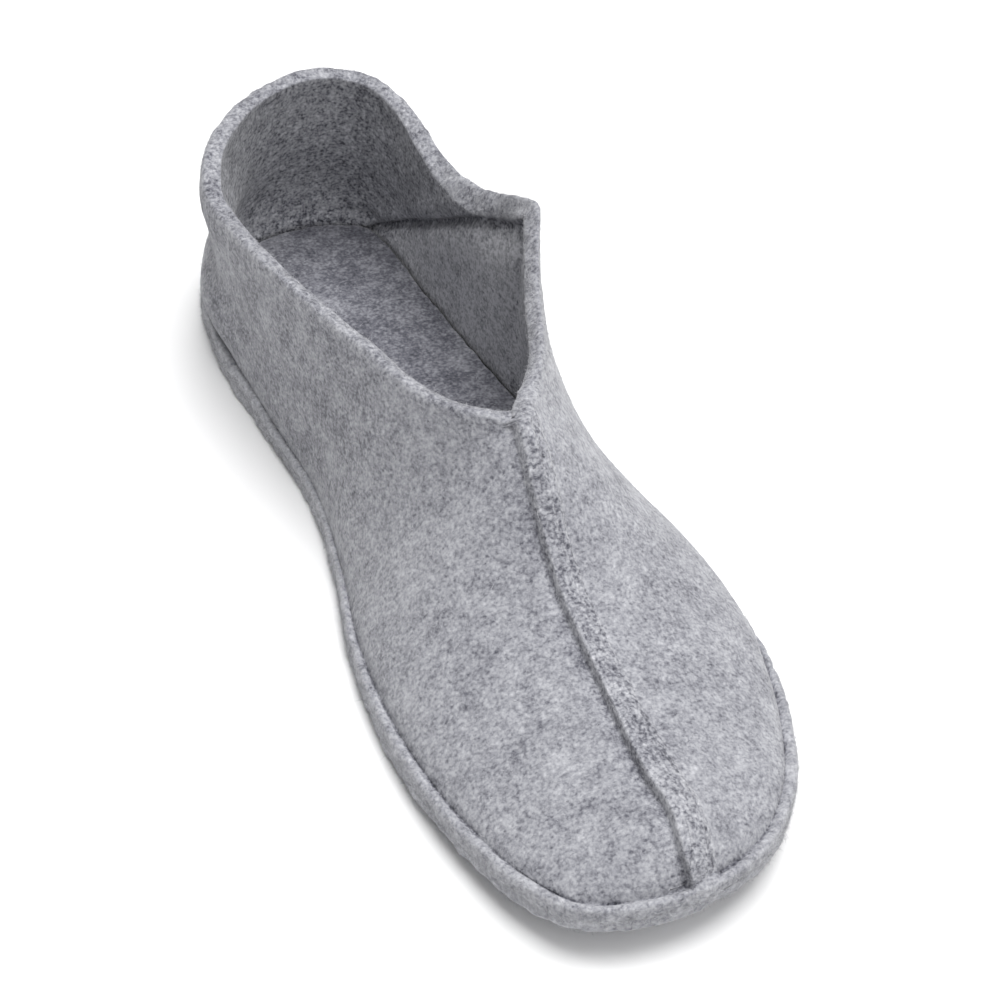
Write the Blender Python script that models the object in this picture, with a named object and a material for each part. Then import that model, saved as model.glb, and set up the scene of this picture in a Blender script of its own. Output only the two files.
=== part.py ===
"""Felt house slipper for the left foot, standing empty on its sole.

The shoe is worked out in millimetres in its own directions: "along" runs from the back of the heel
to the toe, "across" from the inner side of the foot to the outer side, and "up" from the floor.
At the end it is placed in metres with the toe towards -Y and the outer side towards +X.
"""

import bmesh
import bpy
import numpy as np

MM = 0.001

# Driving sizes in millimetres
LENGTH = 292.0
GAP = 0.3
SOLE_THICKNESS = 4.6
SOLE_EDGE_ROUNDING = 1.2
INSOLE_THICKNESS = 2.8
INSOLE_CLEARANCE = 0.8
WALL = 4.9
RIM_THICKNESS = 3.3
RIM_ROUNDING = 0.9
RIM_UNDERCUT = 0.3
RIM_WIDTH_FRONT = 3.3
RIM_WIDTH_HEEL = 2.3
RIM_WIDENS_FROM = 60.0
RIM_WIDENS_OVER = 90.0
GROOVE_DEPTH = 0.7
FOLD_FADE = 9.0
SEAM_WIDTH = 10.6
SEAM_STEP = 1.2
SEAM_HEIGHT = 1.9
EDGE_BAND = 5.0
EDGE_ROUNDING = 1.2
TOE_SPRING = 10.2
SPRING_START = 0.62 * LENGTH
LOOP_WIDTH = 12.5
LOOP_THICKNESS = 1.8
LOOP_BOW = 4.0
LOOP_BOW_SKEW = 0.75
LOOP_SEAT = 0.7
SMOOTH_ANGLE = 40.0

# Edge of the sole: across to the inner and to the outer side at stations along the foot
HEEL_POINT = (0.0, 2.0)
TOE_POINT = (292.0, -8.0)
SOLE_EDGE = (
    # along, inner, outer
    (7.0, -23.0, 25.0),
    (22.0, -34.0, 32.6),
    (50.0, -39.8, 35.5),
    (85.0, -38.3, 39.1),
    (120.0, -36.5, 44.3),
    (150.0, -40.8, 48.9),
    (180.0, -48.0, 53.9),
    (205.0, -50.9, 55.4),
    (230.0, -50.4, 52.6),
    (252.0, -47.2, 45.2),
    (270.0, -42.1, 34.8),
    (284.0, -34.0, 20.4),
)

# Ridge of the vamp under the seam, from toe to throat
RIDGE = (
    # along, across, up, roundness of the section
    (283.0, -2.6, 24.0, 1.30),
    (274.0, -1.6, 27.6, 1.35),
    (258.0, -0.8, 28.6, 1.40),
    (240.0, 0.0, 30.6, 1.40),
    (222.0, 0.6, 33.6, 1.40),
    (207.0, 0.6, 39.4, 1.38),
    (195.0, 0.6, 49.0, 1.32),
    (185.0, 0.6, 59.5, 1.26),
    (177.0, 0.6, 66.0, 1.20),
    (174.5, 0.6, 67.5, 1.20),
)

# Outer edge of the collar, from the throat round the outer side, the heel and the inner side.
# Lean is how far the wall tips inwards at its edge, in degrees, and edge the width of its cut face.
# Foot is the station on the sole's edge that the wall stands on, negative on the inner side.
COLLAR_FRONT = (
    # along, across, up, roundness of the section, lean, edge, foot
    (174.5, 0.6, 67.5, 1.20, 40.0, 4.9, 160.0),
    (152.0, 16.4, 67.5, 1.00, 40.0, 4.9, 145.0),
    (126.0, 27.4, 67.5, 0.88, 35.0, 4.9, 124.0),
    (99.5, 38.6, 71.0, 0.95, 35.0, 5.2, 101.0),
)
COLLAR_REAR = (
    # along, across, up, roundness of the section, lean, edge, foot
    (99.5, 38.6, 71.0, 0.95, 35.0, 5.2, 101.0),
    (89.0, 36.9, 67.4, 1.00, 52.0, 7.0, 91.0),
    (76.0, 34.7, 62.0, 1.00, 52.0, 7.4, 79.0),
    (60.0, 33.0, 58.2, 1.00, 36.0, 6.4, 62.0),
    (44.0, 31.9, 58.2, 1.00, 14.0, 5.4, 44.0),
    (29.0, 29.8, 61.4, 1.00, 4.0, 4.9, 27.0),
    (17.5, 24.6, 64.8, 1.00, 0.0, 4.9, 13.0),
    (10.5, 15.5, 66.2, 1.00, 0.0, 4.9, 4.0),
    (9.2, 4.0, 67.6, 1.00, 0.0, 4.9, 0.0),
    (12.5, -12.0, 67.0, 1.00, 0.0, 4.9, -4.0),
    (23.5, -27.4, 66.7, 1.00, 0.0, 4.9, -18.0),
    (37.0, -37.7, 65.6, 1.00, 0.0, 4.9, -36.0),
    (50.0, -41.6, 62.2, 1.00, 0.0, 4.9, -50.0),
    (64.0, -41.2, 61.8, 1.05, 4.0, 4.9, -64.0),
    (92.0, -39.0, 65.8, 1.10, 10.0, 4.9, -90.0),
    (132.0, -28.2, 67.0, 1.15, 25.0, 4.9, -128.0),
    (160.0, -18.0, 67.2, 1.18, 35.0, 4.9, -150.0),
    (168.6, -9.0, 67.4, 1.20, 40.0, 4.9, -156.0),
    (174.5, 0.6, 67.5, 1.20, 40.0, 4.9, -160.0),
)

# Soft swells and folds of the heel's wall, pushed out (+) or in (-).
# Rise tilts a long fold upwards as it runs forward.
FOLDS = (
    # foot, up, half length, half height, rise, push
    (0.0, 21.0, 60.0, 12.0, 0.0, 2.5),
    (-46.0, 21.0, 32.0, 11.0, 0.0, 3.8),
    (-48.0, 56.0, 24.0, 7.0, 0.0, 1.5),
    (48.0, 36.0, 40.0, 8.0, 0.72, 2.5),
)

# Pull loop: middle of its upper and lower end on the outer side, along and up
LOOP_TOP = (76.0, 55.0)
LOOP_FOOT = (102.0, 16.0)

# Counts of sections and rows
SEAM_SECTIONS = 30
TOE_CROWDING = 1.35
COLLAR_SECTIONS = 66
WALL_ROWS = 8
LINING_ROWS = 7
SHORTEST_PANEL = 0.12
SLAB_SECTIONS = 56
SLAB_END = 0.022
LOOP_SECTIONS = 14


def smooth_curve(points, closed=False, steps=30):
    """A dense polyline on the cubic curve through the points."""
    points = np.array(points, float)
    if closed:
        points = np.vstack([points[-1:], points, points[:2]])
    spans = np.linalg.norm(np.diff(points[:, :2], axis=0), axis=1)
    slopes = np.diff(points, axis=0) / spans[:, None]
    shares = (spans[:-1] / (spans[:-1] + spans[1:]))[:, None]
    inner_slopes = slopes[:-1] * (1 - shares) + slopes[1:] * shares
    tangents = np.vstack([slopes[:1], inner_slopes, slopes[-1:]])
    share = np.linspace(0, 1, steps, endpoint=False)[:, None]
    first, last = (1, len(points) - 2) if closed else (0, len(points) - 1)
    pieces = []
    for i in range(first, last):
        pieces.append(
            (2 * share**3 - 3 * share**2 + 1) * points[i]
            + (share**3 - 2 * share**2 + share) * tangents[i] * spans[i]
            + (3 * share**2 - 2 * share**3) * points[i + 1]
            + (share**3 - share**2) * tangents[i + 1] * spans[i]
        )
    pieces.append(points[last:last + 1])
    return np.vstack(pieces)


def lengths_along(line, columns=3):
    """Distance travelled at each point of a polyline."""
    steps = np.linalg.norm(np.diff(line[:, :columns], axis=0), axis=1)
    return np.concatenate([[0.0], np.cumsum(steps)])


def points_at(line, marks, positions):
    """Points of a polyline at the given values of its marks."""
    return np.stack([np.interp(positions, marks, column) for column in line.T], axis=-1)


def ease(share):
    """A soft rise from 0 to 1."""
    share = np.clip(share, 0, 1)
    return share * share * (3 - 2 * share)


def spring(along):
    """Lift of the sole's underside above the floor."""
    share = np.clip((along - SPRING_START) / (LENGTH - SPRING_START), 0, None)
    return TOE_SPRING * share**2


def sole_outline():
    """The sole's edge as a closed polyline: toe, outer side, heel, inner side, toe."""
    outer = [(along, across) for along, _, across in reversed(SOLE_EDGE)]
    inner = [(along, across) for along, across, _ in SOLE_EDGE]
    return smooth_curve([TOE_POINT, *outer, HEEL_POINT, *inner], closed=True)


OUTLINE = sole_outline()
OUTLINE_MARKS = lengths_along(OUTLINE, 2)
HEEL_INDEX = int(np.argmin(OUTLINE[:, 0]))


def mark_of(foot):
    """Distance round the outline of a station on the outer side, or on the inner side where negative."""
    outer = slice(HEEL_INDEX, None, -1)
    inner = slice(HEEL_INDEX, None)
    side = outer if foot >= 0 else inner
    along = np.maximum.accumulate(OUTLINE[side, 0])
    return float(np.interp(abs(foot), along, OUTLINE_MARKS[side]))


def outward_at(marks):
    """Outward direction in plan at distances round the outline."""
    step = 0.5
    total = OUTLINE_MARKS[-1]
    ahead = points_at(OUTLINE, OUTLINE_MARKS, np.mod(marks + step, total))
    behind = points_at(OUTLINE, OUTLINE_MARKS, np.mod(marks - step, total))
    run = ahead - behind
    run /= np.linalg.norm(run, axis=1)[:, None]
    return np.stack([run[:, 1], -run[:, 0]], axis=1)


def inset_outline(marks, inset):
    """Points of the outline at these marks, moved inwards."""
    here = points_at(OUTLINE, OUTLINE_MARKS, marks)
    return here - outward_at(marks) * np.reshape(inset, (-1, 1))


def rim_width(along):
    """Visible width of the rim, narrow round the heel and wide at the toe."""
    share = ease((along - RIM_WIDENS_FROM) / RIM_WIDENS_OVER)
    return RIM_WIDTH_HEEL + (RIM_WIDTH_FRONT - RIM_WIDTH_HEEL) * share


def fold_push(marks, up, groove):
    """How far swells and folds move the wall outwards, fading to nothing at the groove."""
    push = np.zeros(np.broadcast(marks, up).shape)
    heel = OUTLINE_MARKS[HEEL_INDEX]
    for foot, height, half_length, half_height, rise, depth in FOLDS:
        offset = marks - mark_of(foot)
        forward = -offset if mark_of(foot) < heel else offset
        level = up - height - rise * forward
        push = push + depth * np.exp(-((offset / half_length) ** 2) - (level / half_height) ** 2)
    return push * ease((up - groove) / FOLD_FADE)


class Upper:
    """The upper's columns: a wall profile from the sole's edge to the ridge or to the collar."""

    def __init__(self, seam_sections, collar_sections):
        self.seam_sections = seam_sections
        self.collar_sections = collar_sections
        self.place_tops()
        self.place_feet()

    def place_tops(self):
        """Upper ends of the columns, in order: toe, outer vamp, collar, inner vamp."""
        ridge = smooth_curve(RIDGE)
        spread = np.linspace(0, 1, self.seam_sections + 1) ** TOE_CROWDING
        ridge_marks = lengths_along(ridge)
        ridge_tops = points_at(ridge, ridge_marks, spread * ridge_marks[-1])
        toe_mark = 0.0
        throat_marks = (mark_of(COLLAR_FRONT[0][-1]), mark_of(COLLAR_REAR[-1][-1]))
        total = OUTLINE_MARKS[-1]

        collar_parts = []
        for table in (COLLAR_FRONT, COLLAR_REAR):
            rows = [(*row[:6], mark_of(row[6])) for row in table]
            collar_parts.append(smooth_curve(rows))
        collar = np.vstack([collar_parts[0][:-1], collar_parts[1]])
        collar_marks = lengths_along(collar)
        spread_collar = np.linspace(0, collar_marks[-1], self.collar_sections + 1)[1:-1]
        corner = lengths_along(collar_parts[0])[-1]
        nearest = int(np.argmin(np.abs(spread_collar - corner)))
        spread_collar[nearest] = corner
        collar_tops = points_at(collar, collar_marks, spread_collar)

        outer_marks = toe_mark + spread * (throat_marks[0] - toe_mark)
        inner_marks = total + spread * (throat_marks[1] - total)
        self.marks = np.concatenate([outer_marks, collar_tops[:, 6], inner_marks[:0:-1]])
        self.tops = np.vstack([ridge_tops[:, :3], collar_tops[:, :3], ridge_tops[:0:-1, :3]])
        self.roundness = np.concatenate([ridge_tops[:, 3], collar_tops[:, 3], ridge_tops[:0:-1, 3]])
        self.ridge_tops = ridge_tops[:, :3]
        self.lining_tops = self.tops - self.edge_directions(collar_tops[:, 4], collar_tops[:, 5])

    def edge_directions(self, lean, edge):
        """Steps through the wall at the columns' upper ends, from the lining to the outside."""
        seam, collar = self.seam_sections, self.collar_sections
        steps = np.zeros_like(self.tops)
        run = np.gradient(self.ridge_tops, axis=0)
        ridge = np.stack([run[:, 2], np.zeros(seam + 1), -run[:, 0]], axis=1)
        ridge *= WALL / np.linalg.norm(ridge, axis=1)[:, None]
        steps[:seam + 1] = ridge
        steps[seam + collar:] = ridge[:0:-1]
        run = np.gradient(self.tops[seam:seam + collar + 1, :2], axis=0)[1:-1]
        outward = np.stack([run[:, 1], -run[:, 0]], axis=1)
        outward /= np.linalg.norm(outward, axis=1)[:, None]
        lean = np.radians(lean)
        steps[seam + 1:seam + collar, :2] = outward * (edge * np.cos(lean))[:, None]
        steps[seam + 1:seam + collar, 2] = edge * np.sin(lean)
        throat = np.radians(COLLAR_FRONT[0][4])
        steps[seam] = (WALL * np.cos(throat), 0.0, WALL * np.sin(throat))
        steps[seam + collar] = steps[seam]
        return steps

    def place_feet(self):
        """Lower ends of the columns: the groove outside and the bottom edge inside."""
        edge = points_at(OUTLINE, OUTLINE_MARKS, self.marks)
        rim = rim_width(edge[:, 0])
        self.bottom = SOLE_THICKNESS + GAP
        groove = inset_outline(self.marks, rim)
        lining = inset_outline(self.marks, rim + WALL)
        groove_up = self.bottom + RIM_THICKNESS - GROOVE_DEPTH + spring(groove[:, 0])
        self.groove = np.column_stack([groove, groove_up])
        self.lining_feet = np.column_stack([lining, self.bottom + spring(lining[:, 0])])
        self.outward = outward_at(self.marks)

    def profile(self, column, lining=False, steps=60):
        """Dense profile of one column, from its foot to its top."""
        foot = self.lining_feet[column] if lining else self.groove[column]
        top = self.lining_tops[column] if lining else self.tops[column]
        angle = np.linspace(0, np.pi / 2, steps)
        power = 2.0 / self.roundness[column]
        reach = 1 - np.cos(angle) ** power
        rise = np.sin(angle) ** power
        line = foot + (top - foot) * np.stack([reach, reach, rise], axis=1)
        push = fold_push(self.marks[column], line[:, 2], self.groove[column, 2])
        line[:, :2] += self.outward[column] * push[:, None]
        return line

    def seam_distance(self, points):
        """Distance in plan from the seam's middle line, and its nearest stretch."""
        path = np.vstack([self.groove[0], self.ridge_tops])[:, :2]
        starts, run = path[:-1], np.diff(path, axis=0)
        offsets = points[:, None, :2] - starts
        share = np.clip((offsets * run).sum(2) / (run * run).sum(1), 0, 1)
        distance = np.linalg.norm(offsets - share[..., None] * run, axis=2)
        return distance.min(1), distance.argmin(1)

    def seam_lift(self, points):
        """Steps that raise the seam's band off the wall, square to its middle line."""
        distance, nearest = self.seam_distance(points)
        run = np.diff(np.vstack([self.groove[0], self.ridge_tops]), axis=0)
        square = np.stack([run[:, 2], np.zeros(len(run)), -run[:, 0]], axis=1)
        square /= np.linalg.norm(square, axis=1)[:, None]
        height = SEAM_HEIGHT * ease((SEAM_WIDTH / 2 - distance) / SEAM_STEP)
        return height[:, None] * square[nearest]

    def upper_marks(self, column, line, marks):
        """Where the last rows of a column lie: by the step of the seam, or by the collar's edge."""
        total = marks[-1]
        if not self.is_seam(column):
            return [total - EDGE_BAND, total - EDGE_ROUNDING]
        distance = np.minimum.accumulate(self.seam_distance(line)[0])
        limits = (SEAM_WIDTH / 2, SEAM_WIDTH / 2 - SEAM_STEP)
        found = np.interp(limits, distance[::-1], marks[::-1])
        shortest = total * SHORTEST_PANEL
        return [max(found[0], shortest), max(found[1], 2 * shortest)]

    def is_seam(self, column):
        """Whether a column ends on the ridge of the vamp."""
        return column <= self.seam_sections or column >= self.seam_sections + self.collar_sections

    def outer_rows(self, column):
        """Outside of one column: rim, groove, wall, and the step of the seam or the collar's edge."""
        mark = self.marks[column:column + 1]
        rows = []
        rim_top = self.bottom + RIM_THICKNESS
        for inset, up in (
            (RIM_UNDERCUT, self.bottom),
            (0.0, self.bottom + RIM_ROUNDING),
            (0.0, rim_top - RIM_ROUNDING),
            (RIM_ROUNDING, rim_top),
        ):
            place = inset_outline(mark, inset)[0]
            rows.append([*place, up + spring(place[0])])
        line = self.profile(column)
        marks = lengths_along(line)
        step_foot, step_top = self.upper_marks(column, line, marks)
        positions = np.append(np.linspace(0, step_foot, WALL_ROWS), [step_top, marks[-1]])
        wall = points_at(line, marks, positions)
        if self.is_seam(column):
            wall += self.seam_lift(wall)
        return np.vstack([rows, wall])

    def lining_rows(self, column):
        """Inside of one column, from its top down to the bottom edge."""
        line = self.profile(column, lining=True)
        marks = lengths_along(line)
        return points_at(line, marks, np.linspace(marks[-1], 0, LINING_ROWS))


def new_material(name, colour, roughness):
    """A plain Principled material."""
    material = bpy.data.materials.new(name)
    material.use_nodes = True
    shader = material.node_tree.nodes["Principled BSDF"]
    shader.inputs["Base Color"].default_value = (*colour, 1.0)
    shader.inputs["Roughness"].default_value = roughness
    shader.inputs["Metallic"].default_value = 0.0
    return material


def new_piece(name, points, faces, material, collection):
    """An object from points in the shoe's millimetres."""
    points = np.asarray(points, float)
    placed = np.column_stack([points[:, 1], LENGTH / 2 - points[:, 0], points[:, 2]]) * MM
    mesh = bpy.data.meshes.new(name)
    mesh.from_pydata(placed.tolist(), [], [list(face) for face in faces])
    mesh.validate()
    mesh.materials.append(material)
    mesh.shade_smooth()
    mesh.set_sharp_from_angle(angle=np.radians(SMOOTH_ANGLE))
    piece = bpy.data.objects.new(name, mesh)
    collection.objects.link(piece)
    return piece


def build_upper(collection, material):
    """The felt wall: outside and lining joined along the collar and under the rim."""
    upper = Upper(SEAM_SECTIONS, COLLAR_SECTIONS)
    count = len(upper.marks)
    points = []
    outer_ids = []
    lining_ids = []
    tops = {}
    for column in range(count):
        twin = count - column if column > SEAM_SECTIONS + COLLAR_SECTIONS - 1 else column
        shared = tops.get(twin) if upper.is_seam(column) and twin != column else None
        outer = upper.outer_rows(column)
        lining = upper.lining_rows(column)
        if shared is None:
            ids = list(range(len(points), len(points) + len(outer) + len(lining)))
            points.extend(outer)
            points.extend(lining)
            outer_ids.append(ids[:len(outer)])
            lining_ids.append(ids[len(outer):])
            tops[column] = (outer_ids[-1][-1], lining_ids[-1][0])
        else:
            start = len(points)
            points.extend(outer[:-1])
            middle = len(points)
            points.extend(lining[1:])
            outer_ids.append([*range(start, middle), shared[0]])
            lining_ids.append([shared[1], *range(middle, len(points))])

    faces = []
    for column in range(count):
        following = (column + 1) % count
        for ids in (outer_ids, lining_ids):
            for row in range(len(ids[0]) - 1):
                faces.append(
                    (ids[column][row], ids[column][row + 1], ids[following][row + 1], ids[following][row])
                )
        faces.append(
            (lining_ids[column][-1], outer_ids[column][0], outer_ids[following][0], lining_ids[following][-1])
        )
        if SEAM_SECTIONS <= column < SEAM_SECTIONS + COLLAR_SECTIONS:
            faces.append(
                (outer_ids[column][-1], lining_ids[column][0], lining_ids[following][0], outer_ids[following][-1])
            )
    return upper, new_piece("upper", points, faces, material, collection)


def widths_at(line, along):
    """Inner and outer limits of a closed outline at one station."""
    here, following = line, np.roll(line, -1, axis=0)
    crossing = (here[:, 0] - along) * (following[:, 0] - along) <= 0
    here, following = here[crossing], following[crossing]
    run = following[:, 0] - here[:, 0]
    share = (along - here[:, 0]) / np.where(run == 0, 1, run)
    across = here[:, 1] + share * (following[:, 1] - here[:, 1])
    return across.min(), across.max()


def build_slab(name, line, low, high, rounding, collection, material):
    """A felt sheet with this outline: sections across the foot, following the toe's lift."""
    heel, toe = line[:, 0].min(), line[:, 0].max()
    turn = np.linspace(SLAB_END, 1 - SLAB_END, SLAB_SECTIONS) * np.pi
    stations = heel + (toe - heel) * (1 - np.cos(turn)) / 2
    points = []
    for along in stations:
        inner, outer = widths_at(line, along)
        centre = (inner + outer) / 2
        soft = min(rounding, (outer - inner) / 6)
        lift = spring(along)
        for across, up in (
            (inner + soft, low),
            (centre, low),
            (outer - soft, low),
            (outer, low + soft),
            (outer, high - soft),
            (outer - soft, high),
            (centre, high),
            (inner + soft, high),
            (inner, high - soft),
            (inner, low + soft),
        ):
            points.append((along, across, up + lift))
    ring = 10
    faces = []
    for section in range(SLAB_SECTIONS - 1):
        for corner in range(ring):
            following = (corner + 1) % ring
            faces.append(
                (
                    section * ring + corner,
                    section * ring + following,
                    (section + 1) * ring + following,
                    (section + 1) * ring + corner,
                )
            )
    faces.append(tuple(reversed(range(ring))))
    faces.append(tuple((SLAB_SECTIONS - 1) * ring + corner for corner in range(ring)))
    return new_piece(name, points, faces, material, collection)


def build_sole(collection, material):
    """The sole: a felt sheet with the shoe's full outline."""
    return build_slab("sole", OUTLINE[:-1], 0.0, SOLE_THICKNESS, SOLE_EDGE_ROUNDING, collection, material)


def build_insole(upper, collection, material):
    """The insole: a thinner felt sheet that fills the floor inside the wall."""
    low = SOLE_THICKNESS + GAP
    high = low + INSOLE_THICKNESS
    edge = []
    for column in range(len(upper.marks)):
        line = upper.profile(column, lining=True)
        level = high + spring(line[0, 0])
        rising = np.maximum.accumulate(line[:, 2])
        near = [np.interp(level, rising, line[:, axis]) for axis in (0, 1)]
        outward = upper.outward[column]
        foot = line[0, :2]
        step = min(0.0, (near - foot) @ outward) - INSOLE_CLEARANCE
        edge.append(foot + outward * step)
    return build_slab("insole", np.array(edge), low, high, INSOLE_CLEARANCE, collection, material)


def outer_face(upper, along, up):
    """Across position of the wall's outside on the outer side, at a station and height."""
    columns = range(SEAM_SECTIONS // 2, SEAM_SECTIONS + COLLAR_SECTIONS // 2)
    found = []
    for column in columns:
        line = upper.profile(column)
        rising = np.maximum.accumulate(line[:, 2])
        found.append([np.interp(up, rising, line[:, axis]) for axis in (0, 1)])
    found = np.array(sorted(found))
    return float(np.interp(along, found[:, 0], found[:, 1]))


def build_pull_loop(upper, collection, material):
    """The pull loop: a leather strip that stands off the outer side between its sewn ends."""
    top, foot = np.array(LOOP_TOP), np.array(LOOP_FOOT)
    run = (foot - top) / np.linalg.norm(foot - top)
    sideways = np.array([-run[1], run[0]]) * LOOP_WIDTH / 2
    points = []
    for share in np.linspace(0, 1, LOOP_SECTIONS):
        middle = top + (foot - top) * share
        bow = LOOP_BOW * np.sin(np.pi * share**LOOP_BOW_SKEW) ** 2
        for lift in (LOOP_SEAT, LOOP_SEAT + LOOP_THICKNESS):
            for side in (-1, 0, 1):
                along, up = middle + side * sideways
                across = outer_face(upper, along, up)
                points.append((along, across + lift + bow, up))
    ring = (0, 1, 2, 5, 4, 3)
    faces = []
    for section in range(LOOP_SECTIONS - 1):
        here = [section * 6 + corner for corner in ring]
        ahead = [corner + 6 for corner in here]
        for corner in range(6):
            following = (corner + 1) % 6
            faces.append((here[corner], here[following], ahead[following], ahead[corner]))
    faces.append(tuple(reversed(ring)))
    faces.append(tuple((LOOP_SECTIONS - 1) * 6 + corner for corner in ring))
    return new_piece("pull_loop", points, faces, material, collection)


def point_faces_outwards(piece):
    """Turns the faces of a closed piece so that they point out of it."""
    work = bmesh.new()
    work.from_mesh(piece.data)
    bmesh.ops.recalc_face_normals(work, faces=work.faces)
    work.to_mesh(piece.data)
    work.free()


def stand_on_origin(pieces):
    """Moves the shoe so that the middle of its underside's box is at the origin."""
    corners = np.array([vertex.co for piece in pieces for vertex in piece.data.vertices])
    low, high = corners.min(axis=0), corners.max(axis=0)
    shift = np.array([(low[0] + high[0]) / 2, (low[1] + high[1]) / 2, low[2]])
    for piece in pieces:
        for vertex in piece.data.vertices:
            vertex.co = np.array(vertex.co) - shift


def main():
    for item in list(bpy.data.objects):
        bpy.data.objects.remove(item, do_unlink=True)
    collection = bpy.data.collections.new("house_slipper")
    bpy.context.scene.collection.children.link(collection)

    felt_upper = new_material("upper_felt", (0.52, 0.52, 0.54), 0.95)
    felt_sole = new_material("sole_felt", (0.46, 0.46, 0.48), 0.95)
    felt_insole = new_material("insole_felt", (0.44, 0.44, 0.46), 0.95)
    leather = new_material("loop_leather", (0.12, 0.12, 0.125), 0.6)

    upper, upper_piece = build_upper(collection, felt_upper)
    pieces = [
        build_sole(collection, felt_sole),
        upper_piece,
        build_insole(upper, collection, felt_insole),
        build_pull_loop(upper, collection, leather),
    ]
    for piece in pieces:
        point_faces_outwards(piece)
    stand_on_origin(pieces)


main()
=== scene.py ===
"""Looks of the felt house slipper: fine felt meshes, hairs, stitches, leather loop, light and camera.

The shoe is worked out in millimetres in its own directions, as in the part's source: "along" runs from
the back of the heel to the toe, "across" from the inner side to the outer side, and "up" from the floor.
"""

import bpy
import numpy as np
from mathutils import Matrix, Vector


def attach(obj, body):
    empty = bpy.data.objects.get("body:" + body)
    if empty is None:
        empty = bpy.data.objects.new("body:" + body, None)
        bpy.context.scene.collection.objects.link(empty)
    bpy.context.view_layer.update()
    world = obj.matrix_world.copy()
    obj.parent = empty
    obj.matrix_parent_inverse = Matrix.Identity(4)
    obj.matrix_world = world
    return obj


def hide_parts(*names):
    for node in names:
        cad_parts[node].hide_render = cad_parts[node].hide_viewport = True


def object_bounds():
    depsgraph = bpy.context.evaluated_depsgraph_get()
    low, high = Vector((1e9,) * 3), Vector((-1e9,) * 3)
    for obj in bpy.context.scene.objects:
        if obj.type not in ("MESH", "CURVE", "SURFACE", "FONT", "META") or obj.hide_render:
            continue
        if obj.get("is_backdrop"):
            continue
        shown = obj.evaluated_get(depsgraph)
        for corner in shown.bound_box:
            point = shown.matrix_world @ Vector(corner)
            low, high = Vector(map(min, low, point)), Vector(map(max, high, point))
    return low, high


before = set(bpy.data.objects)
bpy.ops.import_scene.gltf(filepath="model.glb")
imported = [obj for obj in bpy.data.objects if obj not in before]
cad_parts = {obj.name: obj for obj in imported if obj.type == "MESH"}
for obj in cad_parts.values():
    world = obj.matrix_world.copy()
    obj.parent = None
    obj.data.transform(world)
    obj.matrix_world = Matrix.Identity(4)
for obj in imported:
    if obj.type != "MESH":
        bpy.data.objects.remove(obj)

CAD_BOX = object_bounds()
MM = 0.001

# Driving sizes in millimetres, close to the source's. Collar, rim, seam and folds differ a little.
# A noise is written as its height, its size and a seed.
LENGTH = 292.0
GAP = 0.3
SOLE_THICKNESS = 4.6
INSOLE_THICKNESS = 2.8
INSOLE_CLEARANCE = 0.8
WALL = 4.9
RIM_THICKNESS = 3.3
RIM_STRAIGHT = 1.1
RIM_OVERLAP = 1.0
RIM_PROUD = 0.1
RIM_FOOT = 0.4
RIM_CURVES = (0.8, 0.9)
RIM_SHOULDER = (0.72, 0.12)
RIM_WIDTH_FRONT = 3.3
RIM_WIDTH_HEEL = 2.3
RIM_WIDENS_FROM = 60.0
RIM_WIDENS_OVER = 90.0
GROOVE_DEPTH = 0.9
# Painted shade along the groove above the rim: its width, its breaks, its limits and how much fainter it is
# where the rim sinks in
GROOVE_LINE = 0.6
GROOVE_BREAKS = (0.9, 4.0, 34)
GROOVE_LIMITS = (0.1, 1.6)
GROOVE_SUNK = 0.5
FOLD_FADE = 5.0
SEAM_HEIGHT = 2.0
TOE_SPRING = 10.2
SPRING_START = 0.62 * LENGTH
LOOP_WIDTH = 12.5
LOOP_THICKNESS = 1.8
LOOP_BOW = 4.0
LOOP_BOW_SKEW = 0.75
LOOP_SEAT = 0.7
LOOP_SECTIONS = 40
LOOP_STRIPS = 8
LOOP_EDGE_ROWS = 4
THREAD_INSET = 3.2
THREAD_SPREAD = 0.66
THREAD_LENGTH = 2.0
THREAD_WIDTH = 0.7
THREAD_TAPER = 0.9
THREAD_RINGS = 7
THREAD_SIDES = 6
THREADS = 4
TOE_CROWDING = 1.35

HEEL_POINT = (0.0, 2.0)
TOE_POINT = (292.0, -8.0)
SOLE_EDGE = (
    # along, inner, outer
    (7.0, -23.0, 25.0),
    (22.0, -34.0, 32.6),
    (50.0, -39.8, 35.5),
    (85.0, -38.3, 39.1),
    (120.0, -36.5, 44.3),
    (150.0, -40.8, 48.9),
    (180.0, -48.0, 53.9),
    (205.0, -50.9, 55.4),
    (230.0, -50.4, 52.6),
    (252.0, -47.2, 45.2),
    (270.0, -42.1, 34.8),
    (284.0, -34.0, 20.4),
)
RIDGE = (
    # along, across, up, roundness of the section
    (283.0, -2.6, 24.0, 1.30),
    (274.0, -1.6, 27.6, 1.35),
    (258.0, -0.8, 28.6, 1.40),
    (240.0, 0.0, 30.6, 1.40),
    (222.0, 0.6, 33.6, 1.40),
    (207.0, 0.6, 39.4, 1.38),
    (195.0, 0.6, 49.0, 1.32),
    (185.0, 0.6, 59.5, 1.26),
    (177.0, 0.6, 66.0, 1.20),
    (174.5, 0.6, 67.5, 1.20),
)
COLLAR_FRONT = (
    # along, across, up, roundness of the section, lean, edge, foot
    (174.5, 0.6, 67.5, 1.20, 14.0, 4.9, 160.0),
    (152.0, 16.4, 67.5, 1.00, 30.0, 5.2, 145.0),
    (126.0, 27.4, 67.5, 0.88, 35.0, 5.4, 124.0),
    (99.5, 39.0, 73.2, 0.95, 35.0, 5.4, 101.0),
)
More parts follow.
